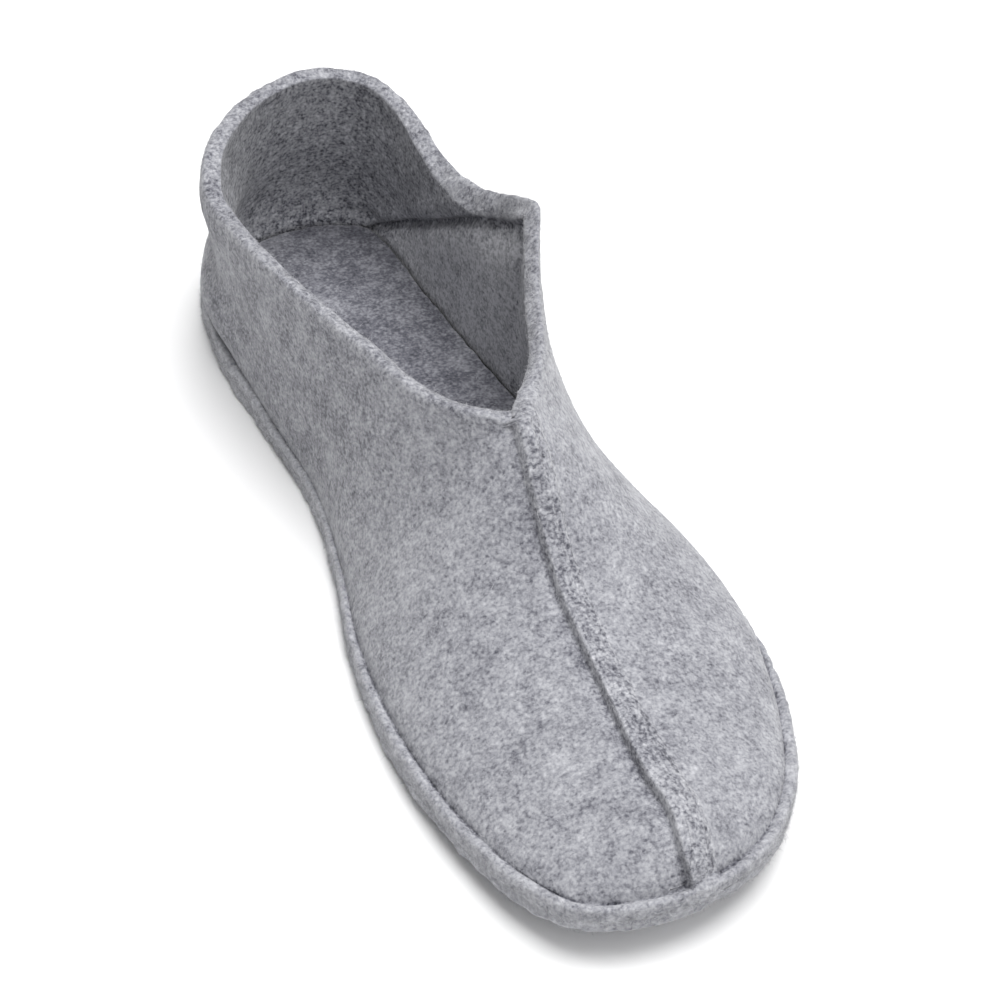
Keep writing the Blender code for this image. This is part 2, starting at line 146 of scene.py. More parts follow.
COLLAR_REAR = (
    # along, across, up, roundness of the section, lean, edge, foot
    (99.5, 39.0, 73.2, 0.95, 35.0, 5.4, 101.0),
    (95.0, 38.2, 72.0, 0.98, 46.0, 8.4, 96.5),
    (90.0, 37.1, 69.4, 1.00, 52.0, 8.8, 92.0),
    (76.0, 34.7, 62.0, 1.00, 52.0, 8.2, 79.0),
    (60.0, 33.0, 58.2, 1.00, 36.0, 7.2, 62.0),
    (44.0, 31.9, 58.4, 1.00, 14.0, 6.2, 44.0),
    (29.0, 29.8, 61.9, 1.00, 4.0, 5.4, 27.0),
    (17.5, 24.6, 64.8, 1.00, 0.0, 5.4, 13.0),
    (10.5, 15.5, 66.2, 1.00, 0.0, 5.4, 4.0),
    (9.2, 4.0, 67.6, 1.00, 0.0, 5.4, 0.0),
    (12.5, -12.0, 67.0, 1.00, 0.0, 5.6, -4.0),
    (23.5, -27.4, 66.7, 1.00, 0.0, 5.8, -18.0),
    (37.0, -37.7, 65.6, 1.00, 0.0, 5.8, -36.0),
    (50.0, -41.6, 62.2, 1.00, 0.0, 5.6, -50.0),
    (64.0, -41.2, 61.8, 1.05, 4.0, 5.4, -64.0),
    (92.0, -39.0, 65.8, 1.10, 6.0, 5.0, -90.0),
    (132.0, -28.2, 67.0, 1.15, 10.0, 4.9, -128.0),
    (160.0, -18.0, 67.2, 1.18, 14.0, 4.9, -150.0),
    (168.6, -9.0, 67.4, 1.20, 14.0, 4.9, -156.0),
    (174.5, 0.6, 67.5, 1.20, 14.0, 4.9, -160.0),
)
FOLDS = (
    # foot, up, half length, half height, rise, push
    (0.0, 21.0, 60.0, 12.0, 0.0, 2.5),
    (-46.0, 20.0, 17.0, 10.0, 0.0, 3.2),
    (-34.0, 33.0, 20.0, 7.0, 0.0, -3.0),
    (-48.0, 56.0, 24.0, 7.0, 0.0, 1.5),
    (200.0, 15.0, 40.0, 9.0, 0.0, 2.2),
    (48.0, 36.0, 40.0, 8.0, 0.72, 2.5),
)
LOOP_TOP = (76.0, 55.0)
LOOP_FOOT = (102.0, 16.0)

# Creases of the lining, as lines from one foot and height to another: the sharp fold of the heel's wall,
# the swell above it, the corner where it meets the insole, and the hollow under the rolled lip
CREASES = (
    # foot, up, foot, up, half width above and below, push
    (11.0, 6.5, 82.0, 55.6, 0.7, 2.2, 2.4),
    (18.0, 15.0, 78.0, 59.0, 4.5, 4.5, -1.8),
    (13.0, 5.0, 16.0, 9.0, 7.0, 7.0, 1.4),
    (85.0, 56.0, 99.0, 65.6, 2.0, 8.0, 2.8),
)
CREASE_ROWS = (-2.8, -1.7, -0.9, -0.4, 0.0, 0.4, 0.9, 1.7, 2.8)
CREASE_LIMITS = (0.08, 0.9)
# Painted shade on the lining along the sharp fold, under the rolled lip and in the corner above the insole
CREASE_DARK = 1.2
CREASE_LINE = 0.8
HOLLOW_LINE = 2.0
HOLLOW_DARK = 1.3
# Painted light on the lining's panel below the sharp fold: distance over which it grows, its strength and
# where the panel ends
PANEL_EDGE = 9.0
PANEL_PALE = 1.0
PANEL_END = (100.0, 75.0)
CORNER_SHADE = 3.0
CORNER_DARK = 0.5

# Painted shade darkens the inner side's wall, and painted light lightens its rim and sole edge, from behind
# the heel to the ball of the foot
INNER_SHADE_AND_LIGHT_SPAN = (5.0, 35.0, 120.0, 165.0)
INNER_WALL_PAINTED_SHADE = 0.33
INNER_EDGE_PAINTED_LIGHT = -0.6
INNER_SHADE_PATCHES = (1.0, 9.0, 35)
INNER_SHADE_ROWS = 6
INNER_GROOVE_FADE = 0.75

# The rim sinks in under the walls of both sides, and stands clear round the toe and the heel
SUNK_INNER = (55.0, 105.0, 140.0, 225.0)
SUNK_OUTER = (50.0, 100.0, 200.0, 255.0)
SUNK_NARROWING = 0.5
SUNK_DEPTH = 1.3

# Finer steps and roundings of the picture's meshes
SEAM_SECTIONS = 150
COLLAR_SECTIONS = 340
RIM_TURN_ROWS = 5
GROOVE_ROWS = (0.3, 0.7, 1.3)
WALL_ROWS = 36
BAND_ROWS = 32
BAND_REACH = 9.0
EDGE_ROWS = 13
LINING_ROWS = 22
PROFILE_STEPS = 160
SLAB_FAN = 34.0
SLAB_STATIONS = 150
SLAB_FAN_STATIONS = 50
SLAB_STEP = 1.0
UNDERSIDE_THINNING = 3
SLAB_EDGE_ROWS = 9
SLAB_CURVES = (0.7, 0.45)
SOLE_RINGS = 12
SOLE_ROUNDING = 1.2
INSOLE_RINGS = 30
INSOLE_ROUNDING = 0.8
INSOLE_EVERY = 3
EDGE_ROUNDING = 3.4
EDGE_CURVES = (0.7, 0.6)
EDGE_FADE_ROWS = 3
LINING_ROUNDING = 0.9
EDGE_CROWN = 0.9
COLLAR_EDGE_DARKENING = 0.4
LIP_CROWN = 1.0
LIP_FOOT = 88.0
LIP_HALF_LENGTH = 18.0
CORNER_ROUNDING = 1.7
CORNER_REACH = 9.0
SHORTEST_PANEL = 0.12
THROAT_REACH = 26.0
THROAT_ROUNDING = 12.0

# Raised seam: a sharp step on the inner side, a softer one on the outer side, and a row of stitch dents
SEAM_EDGES = (
    # mark from the toe, inner half, outer half
    (0.0, 4.4, 4.6),
    (8.0, 4.2, 5.0),
    (14.0, 3.6, 6.2),
    (24.0, 3.2, 6.4),
    (31.0, 3.4, 6.4),
    (40.0, 4.2, 5.2),
    (57.0, 4.2, 4.1),
    (78.0, 4.4, 3.8),
    (98.0, 4.4, 3.4),
    (110.0, 4.4, 3.8),
    (126.0, 4.0, 4.8),
    (140.0, 3.2, 5.4),
)
SEAM_FOOT = 7.0
SEAM_PAST_RIM = 4.0
SEAM_FADE_FROM = 4
SEAM_FADE_ROWS = 9
SEAM_FILL_ROWS = (4, 3)
WAVER_INNER = (0.35, 7.0, 31)
WAVER_OUTER = (0.35, 5.0, 32)
STEP_INNER = 0.8
STEP_OUTER = 1.5
SEAM_SLOPE = 0.55
SEAM_GROOVE = 0.5
SEAM_GROOVE_WIDTH = 0.8
SEAM_VALLEY = 0.5
SEAM_VALLEY_WIDTH = 2.8
DENT_DEPTH = 0.45
DENT_WIDTH = 0.6
DENT_INSET = ((8.0, 1.4), (60.0, 1.4), (100.0, 2.0), (125.0, 3.6), (140.0, 3.8))
STITCH_PITCH = 3.1
STITCH_RUN = 0.25
BAND_EDGE = 0.6
SEAM_RUN_ON = 14.0

# Painted shade beside the seam's inner step and in its stitch dents, and pale lines along the band's edges
GROOVE_DARK = 0.45
VALLEY_DARK = 0.40
DENT_DARK = 0.45
SEAM_PALE = 0.30
PATCH_MIDDLE = 0.75
SEAM_PATCHES = (0.5, 9.0, 33)
PALE_INNER_INSET = 0.9
PALE_INNER_WIDTH = 0.6
PALE_OUTER_INSET = 0.3
PALE_OUTER_WIDTH = 0.8
PALE_OUTER_SHARE = 0.6

# Unevenness of the felt's faces, and what its cut edges have more
FACE_DENTS = ((0.22, 17.0, 11), (0.09, 6.5, 12), (0.07, 2.4, 13), (0.06, 1.2, 14))
EDGE_DENTS = ((0.34, 3.3, 15), (0.34, 1.9, 16))
SOLE_FLAT_DENTS = 0.3
INSOLE_DENTS = 0.7

# Felt: colours from dark to pale, and the turns and stretch of its three sets of fibres
FELT_STOPS = (
    (0.0, (0.023, 0.025, 0.034)),
    (0.25, (0.103, 0.104, 0.125)),
    (0.5, (0.261, 0.264, 0.290)),
    (0.75, (0.413, 0.416, 0.443)),
    (1.0, (0.588, 0.588, 0.623)),
)
FIBRE_TURNS = ((0.4, 0.2, 0.5), (1.3, 0.9, 2.1), (0.8, 2.2, 1.2))
FIBRE_STRETCH = (0.5, 1.25, 1.25)
FIBRE_WANDER = 0.9
FELT_BRIGHTNESS = 0.52
INSOLE_BRIGHTNESS = 0.305
INSOLE_CONTRAST = 0.85

# Values over which the highest strand turns pale and the lowest one dark
PALE_STRANDS = (0.58, 0.76)
DARK_STRANDS = (0.42, 0.25)

# Middle and weight of grain, specks, pale strands and dark strands, in the tone and in the relief
FIBRE_TONES = ((0.5, 0.70), (0.5, 0.56), (0.1, 0.05), (0.1, -0.12))
FIBRE_HEIGHTS = ((0.5, 1.0), (0.5, 0.8), (0.0, 0.3), (0.0, -0.3))

# What each zone adds to the felt's tone and to the contrast of its fibres; the lining's lift is painted
# light, and the groove zone carries the painted shade and painted light
ZONE_TONES = {"band": -0.04, "inside": 0.05, "edge": 0.06, "groove": -0.22}
ZONE_CONTRASTS = {"band": 0.5, "inside": 0.9, "edge": 0.1, "groove": 0.4}
MOTTLE_TONE = 0.45
MOTTLE_INSIDE = 0.35
CLOUD_TONE = 0.25

# Noises of the materials: scale per millimetre, detail and roughness
WANDER = (0.8, 2.0, 0.5)
STRAND = (1.0, 2.0, 0.55)
GRAIN = (1.15, 2.0, 0.5)
SPECK = (0.62, 2.0, 0.5)
MOTTLE = (0.20, 4.0, 0.6)
CLOUD = (0.05, 2.0, 0.5)
PEBBLE = (1.1, 3.0, 0.6)
LEATHER_CLOUD = (0.12, 2.0, 0.5)
TWIST = (2.5, 2.0, 0.5)

# Reliefs of the materials: depth in metres and strength
FELT_RELIEF = (0.00035, 0.25)
LEATHER_RELIEF = (0.0002, 0.5)

# Colours of hairs, leather and thread, and the leather's tone by grain, clouds and cut edges
HAIR_STOPS = ((0.0, (0.078, 0.078, 0.091)), (0.5, (0.306, 0.308, 0.33)), (1.0, (0.65, 0.65, 0.676)))
LEATHER_STOPS = ((0.0, (0.023, 0.023, 0.026)), (0.4, (0.055, 0.055, 0.057)), (1.0, (0.31, 0.31, 0.305)))
THREAD_STOPS = ((0.25, (0.117, 0.117, 0.124)), (0.75, (0.312, 0.312, 0.325)))
LEATHER_TONE = 0.3
LEATHER_TONES = ((0.5, 0.35), (0.5, 0.3), (0.0, 0.5))
SHEEN_ROUGHNESS = 0.6

# Hairs in millimetres
HAIRS = {
    # name: count, length, highest lift in degrees, seed
    "upper_hairs": (60000, 1.0, 35.0, 21),
    "edge_hairs": (30000, 1.1, 65.0, 25),
    "lining_hairs": (12000, 0.9, 45.0, 22),
    "sole_hairs": (30000, 1.1, 60.0, 23),
    "insole_hairs": (7000, 0.9, 40.0, 24),
}
HAIR_WIDTH = 0.07
HAIR_THINNING = (0.4, 1.0)
HAIR_ROOT = 0.15
HAIR_LOWEST = 0.1
HAIR_BEND = 0.7
HAIR_RISE = 0.8
HAIR_FALL = (-0.4, 1.3)
HAIR_SPREAD = 0.45
HAIR_TONES = (0.55, 0.22)
EDGE_HAIR_SHARE = 1.5
FLAT_HAIR_SHARE = 0.02

# Stage, in metres and watts
FLOOR_SIZE = 6.0
FLOOR_LEVEL = -0.0004
FLOOR_COLOUR = (0.95, 0.95, 0.95)
FLOOR_ROUGHNESS = 0.9
WORLD_STRENGTH = 0.205
LAMPS = (
    # name, place, aim, size, power
    ("over_lamp", (0.22, 0.10, 1.55), (0.0, 0.0, 0.03), 1.3, 36.5),
    ("front_lamp", (-0.05, -1.1, 1.1), (0.0, 0.0, 0.03), 1.2, 6.5),
)

# The photo's viewpoint in metres, the floor point at its middle, and the shoe's place in its frame
VIEWPOINT = Vector((-0.2187, -0.4363, 0.4813))
PHOTO_MIDDLE = Vector((-0.0538, -0.0011, 0.0))
PHOTO_LENS = 54.97
SENSOR = 36.0
SHOE_IN_PHOTO = (0.129, 0.054)
ZOOM = 1.6


def smooth_curve(points, closed=False, steps=30):
    """A dense polyline on the cubic curve through the points."""
    points = np.array(points, float)
    if closed:
        points = np.vstack([points[-1:], points, points[:2]])
    spans = np.linalg.norm(np.diff(points[:, :2], axis=0), axis=1)
    slopes = np.diff(points, axis=0) / spans[:, None]
    shares = (spans[:-1] / (spans[:-1] + spans[1:]))[:, None]
    inner_slopes = slopes[:-1] * (1 - shares) + slopes[1:] * shares
    tangents = np.vstack([slopes[:1], inner_slopes, slopes[-1:]])
    share = np.linspace(0, 1, steps, endpoint=False)[:, None]
    first, last = (1, len(points) - 2) if closed else (0, len(points) - 1)
    pieces = []
    for i in range(first, last):
        pieces.append(
            (2 * share**3 - 3 * share**2 + 1) * points[i]
            + (share**3 - 2 * share**2 + share) * tangents[i] * spans[i]
            + (3 * share**2 - 2 * share**3) * points[i + 1]
            + (share**3 - share**2) * tangents[i + 1] * spans[i]
        )
    pieces.append(points[last:last + 1])
    return np.vstack(pieces)


def lengths_along(line, columns=3):
    """Distance travelled at each point of a polyline."""
    steps = np.linalg.norm(np.diff(line[:, :columns], axis=0), axis=1)
    return np.concatenate([[0.0], np.cumsum(steps)])


def points_at(line, marks, positions):
    """Points of a polyline at the given values of its marks."""
    return np.stack([np.interp(positions, marks, column) for column in line.T], axis=-1)


def ease(share):
    """A soft rise from 0 to 1."""
    share = np.clip(share, 0, 1)
    return share * share * (3 - 2 * share)


def bump(offset, width):
    """1 where the offset is 0, falling softly away on both sides."""
    return np.exp(-((offset / width) ** 2))


def signed_power(value, power):
    """A power of the value's size, with the value's sign."""
    return np.sign(value) * np.abs(value) ** power


def spring(along):
    """Lift of the sole's underside above the floor."""
    share = np.clip((along - SPRING_START) / (LENGTH - SPRING_START), 0, None)
    return TOE_SPRING * share**2


def sole_outline():
    """The sole's edge as a closed polyline: toe, outer side, heel, inner side, toe."""
    outer = [(along, across) for along, _, across in reversed(SOLE_EDGE)]
    inner = [(along, across) for along, across, _ in SOLE_EDGE]
    return smooth_curve([TOE_POINT, *outer, HEEL_POINT, *inner], closed=True)


OUTLINE = sole_outline()
OUTLINE_MARKS = lengths_along(OUTLINE, 2)
HEEL_INDEX = int(np.argmin(OUTLINE[:, 0]))
SHOE_MIDDLE = (OUTLINE[:, 1].min() + OUTLINE[:, 1].max()) / 2


def mark_of(foot):
    """Distance round the outline of a station on the outer side, or on the inner side where negative."""
    outer = slice(HEEL_INDEX, None, -1)
    inner = slice(HEEL_INDEX, None)
    side = outer if foot >= 0 else inner
    along = np.maximum.accumulate(OUTLINE[side, 0])
    return float(np.interp(abs(foot), along, OUTLINE_MARKS[side]))


def outward_at(spots, line=OUTLINE, marks=OUTLINE_MARKS, step=0.5):
    """Outward direction in plan at distances round a closed outline."""
    ahead = points_at(line, marks, np.mod(spots + step, marks[-1]))
    behind = points_at(line, marks, np.mod(spots - step, marks[-1]))
    run = ahead - behind
    run /= np.linalg.norm(run, axis=1)[:, None]
    return np.stack([run[:, 1], -run[:, 0]], axis=1)


def inset_outline(marks, inset):
    """Points of the outline at these marks, moved inwards."""
    here = points_at(OUTLINE, OUTLINE_MARKS, marks)
    return here - outward_at(marks) * np.reshape(inset, (-1, 1))


def rim_width(along):
    """Visible width of the rim, narrow round the heel and wide at the toe."""
    share = ease((along - RIM_WIDENS_FROM) / RIM_WIDENS_OVER)
    return RIM_WIDTH_HEEL + (RIM_WIDTH_FRONT - RIM_WIDTH_HEEL) * share


def side_share(place, limits):
    """A soft share along one side, from the stations where it starts, is full, fades and ends."""
    starts, full, fades, ends = limits
    return ease((place[:, 0] - starts) / (full - starts)) * ease((ends - place[:, 0]) / (ends - fades))


def sunk_share(place):
    """How far the rim sinks in at places of the outline: fully along the sides, not at toe and heel."""
    return np.where(place[:, 1] < 0, side_share(place, SUNK_INNER), side_share(place, SUNK_OUTER))


def inner_shade_and_light_share(place):
    """Share of the painted shade on the wall and the painted light on the rim at places of the outline: only
    along the inner side.
    """
    return np.where(place[:, 1] < 0, side_share(place, INNER_SHADE_AND_LIGHT_SPAN), 0.0)


def fold_push(marks, up, groove):
    """How far swells and folds move the wall outwards, fading to nothing at the groove."""
    push = np.zeros(np.broadcast(marks, up).shape)
    heel = OUTLINE_MARKS[HEEL_INDEX]
    for foot, height, half_length, half_height, rise, depth in FOLDS:
        offset = marks - mark_of(foot)
        forward = -offset if mark_of(foot) < heel else offset
        level = up - height - rise * forward
        push = push + depth * bump(offset, half_length) * bump(level, half_height)
    return push * ease((up - groove) / FOLD_FADE)


def crease_share(crease, mark, up, above, below):
    """How strongly one crease of the lining is felt at heights of one column, from 0 to 1."""
    start = np.array([mark_of(crease[0]), crease[1]])
    run = np.array([mark_of(crease[2]), crease[3]]) - start
    offset = np.stack([np.full_like(up, mark), up], axis=1) - start
    share = np.clip(offset @ run / (run @ run), 0, 1)
    apart = offset - share[:, None] * run
    distance = np.linalg.norm(apart, axis=1)
    downward = np.clip(-apart[:, 1] / np.maximum(distance, 1e-6), 0, 1)
    width = above + (below - above) * ease(downward)
    return bump(distance, width)


def crease_push(mark, up):
    """How far the lining's creases move it outwards at one column."""
    return sum(crease[6] * crease_share(crease, mark, up, crease[4], crease[5]) for crease in CREASES)


def crease_lines(mark, up, insole_top):
    """Painted shade on the lining: along the sharp fold, in the hollow under the lip and in the corner above
    the insole.
    """
    fold = crease_share(CREASES[0], mark, up, CREASE_LINE, CREASE_LINE)
    hollow = HOLLOW_DARK * crease_share(CREASES[-1], mark, up, HOLLOW_LINE, HOLLOW_LINE)
    corner = CORNER_DARK * np.exp(-np.maximum(up - insole_top, 0) / CORNER_SHADE)
    return CREASE_DARK * np.maximum(np.maximum(fold, hollow), corner)


def panel_share(mark, up):
    """Whether heights of one column lie on the lining's panel below the sharp fold, from 0 to 1."""
    foot_a, up_a, foot_b, up_b = CREASES[0][:4]
    stations = (mark_of(PANEL_END[0]), mark_of(foot_b), mark_of(foot_a))
    level = np.interp(mark, stations, (PANEL_END[1], up_b, up_a))
    return ease((level - up) / PANEL_EDGE)


class Upper:
    """The upper's columns: a wall profile from the sole's edge to the ridge or to the collar."""

    def __init__(self, seam_sections, collar_sections):
        self.seam_sections = seam_sections
        self.collar_sections = collar_sections
        self.place_tops()
        self.place_feet()
        self.place_seam()

    def place_tops(self):
        """Upper ends of the columns, in order: toe, outer vamp, collar, inner vamp."""
        ridge = smooth_curve(RIDGE)
        spread = np.linspace(0, 1, self.seam_sections + 1) ** TOE_CROWDING
        ridge_marks = lengths_along(ridge)
        ridge_tops = points_at(ridge, ridge_marks, spread * ridge_marks[-1])
        self.throat_marks = (mark_of(COLLAR_FRONT[0][-1]), mark_of(COLLAR_REAR[-1][-1]))
        total = OUTLINE_MARKS[-1]

        collar_parts = []
        for table in (COLLAR_FRONT, COLLAR_REAR):
            rows = [(*row[:6], mark_of(row[6])) for row in table]
            collar_parts.append(smooth_curve(rows))
        collar = np.vstack([collar_parts[0][:-1], collar_parts[1]])
        collar_marks = lengths_along(collar)
        corner = lengths_along(collar_parts[0])[-1]
        near = bump(collar_marks - corner, CORNER_REACH)[:, None]
        weights = bump(collar_marks[:, None] - collar_marks, CORNER_ROUNDING)
        weights *= np.gradient(collar_marks)
        soft = weights @ collar / weights.sum(1)[:, None]
        collar = collar + (soft - collar) * near
        spread_collar = np.linspace(0, collar_marks[-1], self.collar_sections + 1)[1:-1]
        collar_tops = points_at(collar, collar_marks, spread_collar)

        outer_marks = spread * self.throat_marks[0]
        inner_marks = total + spread * (self.throat_marks[1] - total)
        self.marks = np.concatenate([outer_marks, collar_tops[:, 6], inner_marks[:0:-1]])
        self.tops = np.vstack([ridge_tops[:, :3], collar_tops[:, :3], ridge_tops[:0:-1, :3]])
        self.roundness = np.concatenate([ridge_tops[:, 3], collar_tops[:, 3], ridge_tops[:0:-1, 3]])
        self.ridge_tops = ridge_tops[:, :3]
        self.lining_tops = self.tops - self.edge_directions(collar_tops[:, 4], collar_tops[:, 5])

    def edge_directions(self, lean, edge):
        """Steps through the wall at the columns' upper ends, from the lining to the outside."""
        seam, collar = self.seam_sections, self.collar_sections
        steps = np.zeros_like(self.tops)
        run = np.gradient(self.ridge_tops, axis=0)
        ridge = np.stack([run[:, 2], np.zeros(seam + 1), -run[:, 0]], axis=1)
        ridge *= WALL / np.linalg.norm(ridge, axis=1)[:, None]
        steps[:seam + 1] = ridge
        steps[seam + collar:] = ridge[:0:-1]
        run = np.gradient(self.tops[seam:seam + collar + 1, :2], axis=0)[1:-1]
        outward = np.stack([run[:, 1], -run[:, 0]], axis=1)
        outward /= np.linalg.norm(outward, axis=1)[:, None]
        lean = np.radians(lean)
        steps[seam + 1:seam + collar, :2] = outward * (edge * np.cos(lean))[:, None]
        steps[seam + 1:seam + collar, 2] = edge * np.sin(lean)
        throat = np.radians(COLLAR_FRONT[0][4])
        steps[seam] = (WALL * np.cos(throat), 0.0, WALL * np.sin(throat))
        steps[seam + collar] = steps[seam]
        return steps

    def place_feet(self):
        """Lower ends of the columns: the groove outside and the bottom edge inside."""
        edge = points_at(OUTLINE, OUTLINE_MARKS, self.marks)
        self.bottom = SOLE_THICKNESS + GAP
        lining = inset_outline(self.marks, rim_width(edge[:, 0]) + WALL)
        self.rim = rim_width(edge[:, 0]) * (1 - SUNK_NARROWING * sunk_share(edge))
        self.rim_top = self.bottom + RIM_THICKNESS - SUNK_DEPTH * sunk_share(edge)
        groove = inset_outline(self.marks, self.rim)
        self.inner_shade_and_light = inner_shade_and_light_share(edge)
        self.groove_depth = GROOVE_DEPTH * (1 - INNER_GROOVE_FADE * self.inner_shade_and_light)
        groove_up = self.rim_top - self.groove_depth + spring(groove[:, 0])
        self.groove = np.column_stack([groove, groove_up])
        self.lining_feet = np.column_stack([lining, self.bottom + spring(lining[:, 0])])
        self.outward = outward_at(self.marks)

    def place_seam(self):
        """Middle line of the seam: up the toe, along the ridge and on past the throat."""
        last_run = self.ridge_tops[-1] - self.ridge_tops[-4]
        last_run[2] = 0.0
        end = self.ridge_tops[-1] + last_run / np.linalg.norm(last_run) * SEAM_RUN_ON
        foot = points_at(self.groove[:self.seam_sections], self.marks[:self.seam_sections], SEAM_FOOT)
        past = np.append(inset_outline(np.array([SEAM_FOOT]), -SEAM_PAST_RIM)[0], foot[2] - SEAM_PAST_RIM)
        self.path = np.vstack([past, foot, self.ridge_tops, end])
        run = np.diff(self.path, axis=0)
        run[-1] = run[-2]
        square = np.stack([run[:, 2], np.zeros(len(run)), -run[:, 0]], axis=1)
        self.path_square = square / np.linalg.norm(square, axis=1)[:, None]
        self.path_marks = lengths_along(self.path)

    def plain_line(self, column, lining=False):
        """Profile of one column before swells, folds and creases move it."""
        foot = self.lining_feet[column] if lining else self.groove[column]
        top = self.lining_tops[column] if lining else self.tops[column]
        angle = np.linspace(0, np.pi / 2, PROFILE_STEPS)
        power = 2.0 / self.roundness[column]
        reach = 1 - np.cos(angle) ** power
        rise = np.sin(angle) ** power
        return foot + (top - foot) * np.stack([reach, reach, rise], axis=1)

    def soft_line(self, column):
        """Outer profile of one column, rounded off where the columns fan out from the throat's corner."""
        line = self.plain_line(column)
        nearest = min(abs(self.marks[column] - foot) for foot in self.throat_marks)
        if nearest > 2 * THROAT_REACH:
            return line
        offsets = self.marks - self.marks[column]
        weights = bump(offsets, THROAT_ROUNDING) * np.abs(np.gradient(self.marks))
        chosen = np.flatnonzero(np.abs(offsets) < 2 * THROAT_ROUNDING)
        lines = np.array([self.plain_line(other) for other in chosen])
        soft = np.average(lines, axis=0, weights=weights[chosen])
        share = bump(nearest, THROAT_REACH) * np.sin(np.linspace(0, np.pi, PROFILE_STEPS))
        return line + (soft - line) * share[:, None]

    def profile(self, column, lining=False):
        """Dense profile of one column, from its foot to its top."""
        line = self.plain_line(column, lining=True) if lining else self.soft_line(column)
        push = fold_push(self.marks[column], line[:, 2], self.groove[column, 2])
        if lining:
            push = push + crease_push(self.marks[column], line[:, 2])
        line[:, :2] += self.outward[column] * push[:, None]
        return line

    def seam_place(self, points):
        """Distance in plan from the seam's middle line (inner side negative), mark along it and stretch."""
        starts, run = self.path[:-1, :2], np.diff(self.path[:, :2], axis=0)
        offsets = points[:, None, :2] - starts
        share = np.clip((offsets * run).sum(2) / (run * run).sum(1), 0, 1)
        apart = offsets - share[..., None] * run
        distance = np.linalg.norm(apart, axis=2)
        nearest = distance.argmin(1)
        every = np.arange(len(points))
        side = np.sign(apart[every, nearest, 1])
        stretch = np.diff(self.path_marks)
        mark = self.path_marks[nearest] + share[every, nearest] * stretch[nearest]
        return distance[every, nearest] * side, mark, nearest

    def seam_lift(self, points):
        """Steps that raise the seam's band off the wall, and the zones of its band and of its painted shade
        and pale lines.
        """
        distance, mark, nearest = self.seam_place(points)
        marks, inner_half, outer_half = np.array(SEAM_EDGES).T
        from_inner = distance + np.interp(mark, marks, inner_half) + soft_noise(points, *WAVER_INNER)
        from_outer = np.interp(mark, marks, outer_half) - distance + soft_noise(points, *WAVER_OUTER)
        inner = ease(from_inner / STEP_INNER)
        outer = ease(from_outer / STEP_OUTER)
        slope = 1 - SEAM_SLOPE * ease(from_inner / np.maximum(from_inner + from_outer, 1.0))
        groove = bump(from_inner, SEAM_GROOVE_WIDTH) * (1 - inner)
        valley = bump(from_inner, SEAM_VALLEY_WIDTH) * (1 - inner)
        beat = 0.5 + 0.5 * np.cos(2 * np.pi * mark / STITCH_PITCH)
        dents = bump(from_outer - np.interp(mark, *np.array(DENT_INSET).T), DENT_WIDTH)
        dents *= (STITCH_RUN + (1 - STITCH_RUN) * beat) * inner * outer
        height = SEAM_HEIGHT * slope * inner * outer
        height -= SEAM_GROOVE * groove + SEAM_VALLEY * valley + DENT_DEPTH * dents
        patchy = PATCH_MIDDLE + soft_noise(points, *SEAM_PATCHES)
        pale = bump(from_inner - PALE_INNER_INSET, PALE_INNER_WIDTH)
        pale += PALE_OUTER_SHARE * bump(from_outer - PALE_OUTER_INSET, PALE_OUTER_WIDTH)
        # Painted shade in the groove and valley beside the band's inner step and in the stitch dents, less
        # pale lines along the band's edges
        dark = (GROOVE_DARK * groove + VALLEY_DARK * valley) * patchy + DENT_DARK * dents - SEAM_PALE * pale
        band = inner * ease(from_outer / BAND_EDGE)
        return height[:, None] * self.path_square[nearest], band, dark

    def is_seam(self, column):
        """Whether a column ends on the ridge of the vamp."""
        return column <= self.seam_sections or column >= self.seam_sections + self.collar_sections

    def wall_marks(self, column, line, marks):
        """Where the rows of a column lie, closer together by the seam or by the collar's edge."""
        total = marks[-1]
        if self.is_seam(column):
            distance = np.minimum.accumulate(np.abs(self.seam_place(line)[0]))
            found = np.interp(BAND_REACH, distance[::-1], marks[::-1])
            start = max(found, total * SHORTEST_PANEL)
            end = total
        else:
            start = total - BAND_REACH
            end = total - EDGE_ROUNDING
        panel = np.linspace(GROOVE_ROWS[-1], start, WALL_ROWS)[1:]
        return np.concatenate([GROOVE_ROWS, panel, np.linspace(start, end, BAND_ROWS + 1)[1:]])

    def rim_rows(self, column):
        """Rim of one column, from its lower edge over its rounded top down into the groove."""
        mark = self.marks[column:column + 1]
        width = self.rim[column]
        low = self.bottom
        high = self.rim_top[column]
        straight = low + RIM_STRAIGHT
        turn = np.linspace(0, np.pi / 2, RIM_TURN_ROWS)
        insets = width / 2 * (1 - np.cos(turn) ** RIM_CURVES[0])
        outer = zip(insets, straight + (high - straight) * np.sin(turn) ** RIM_CURVES[1])
        depth = self.groove_depth[column]
        foot = [(-RIM_PROUD, low - RIM_OVERLAP), (-RIM_PROUD / 2, low + RIM_FOOT)]
        inner = [(width * RIM_SHOULDER[0], high - RIM_SHOULDER[1] * depth), (width, high - depth)]
        rows = []
        for inset, up in [*foot, *outer, *inner]:
            place = inset_outline(mark, inset)[0]
            rows.append([*place, up + spring(place[0])])
        return np.array(rows)

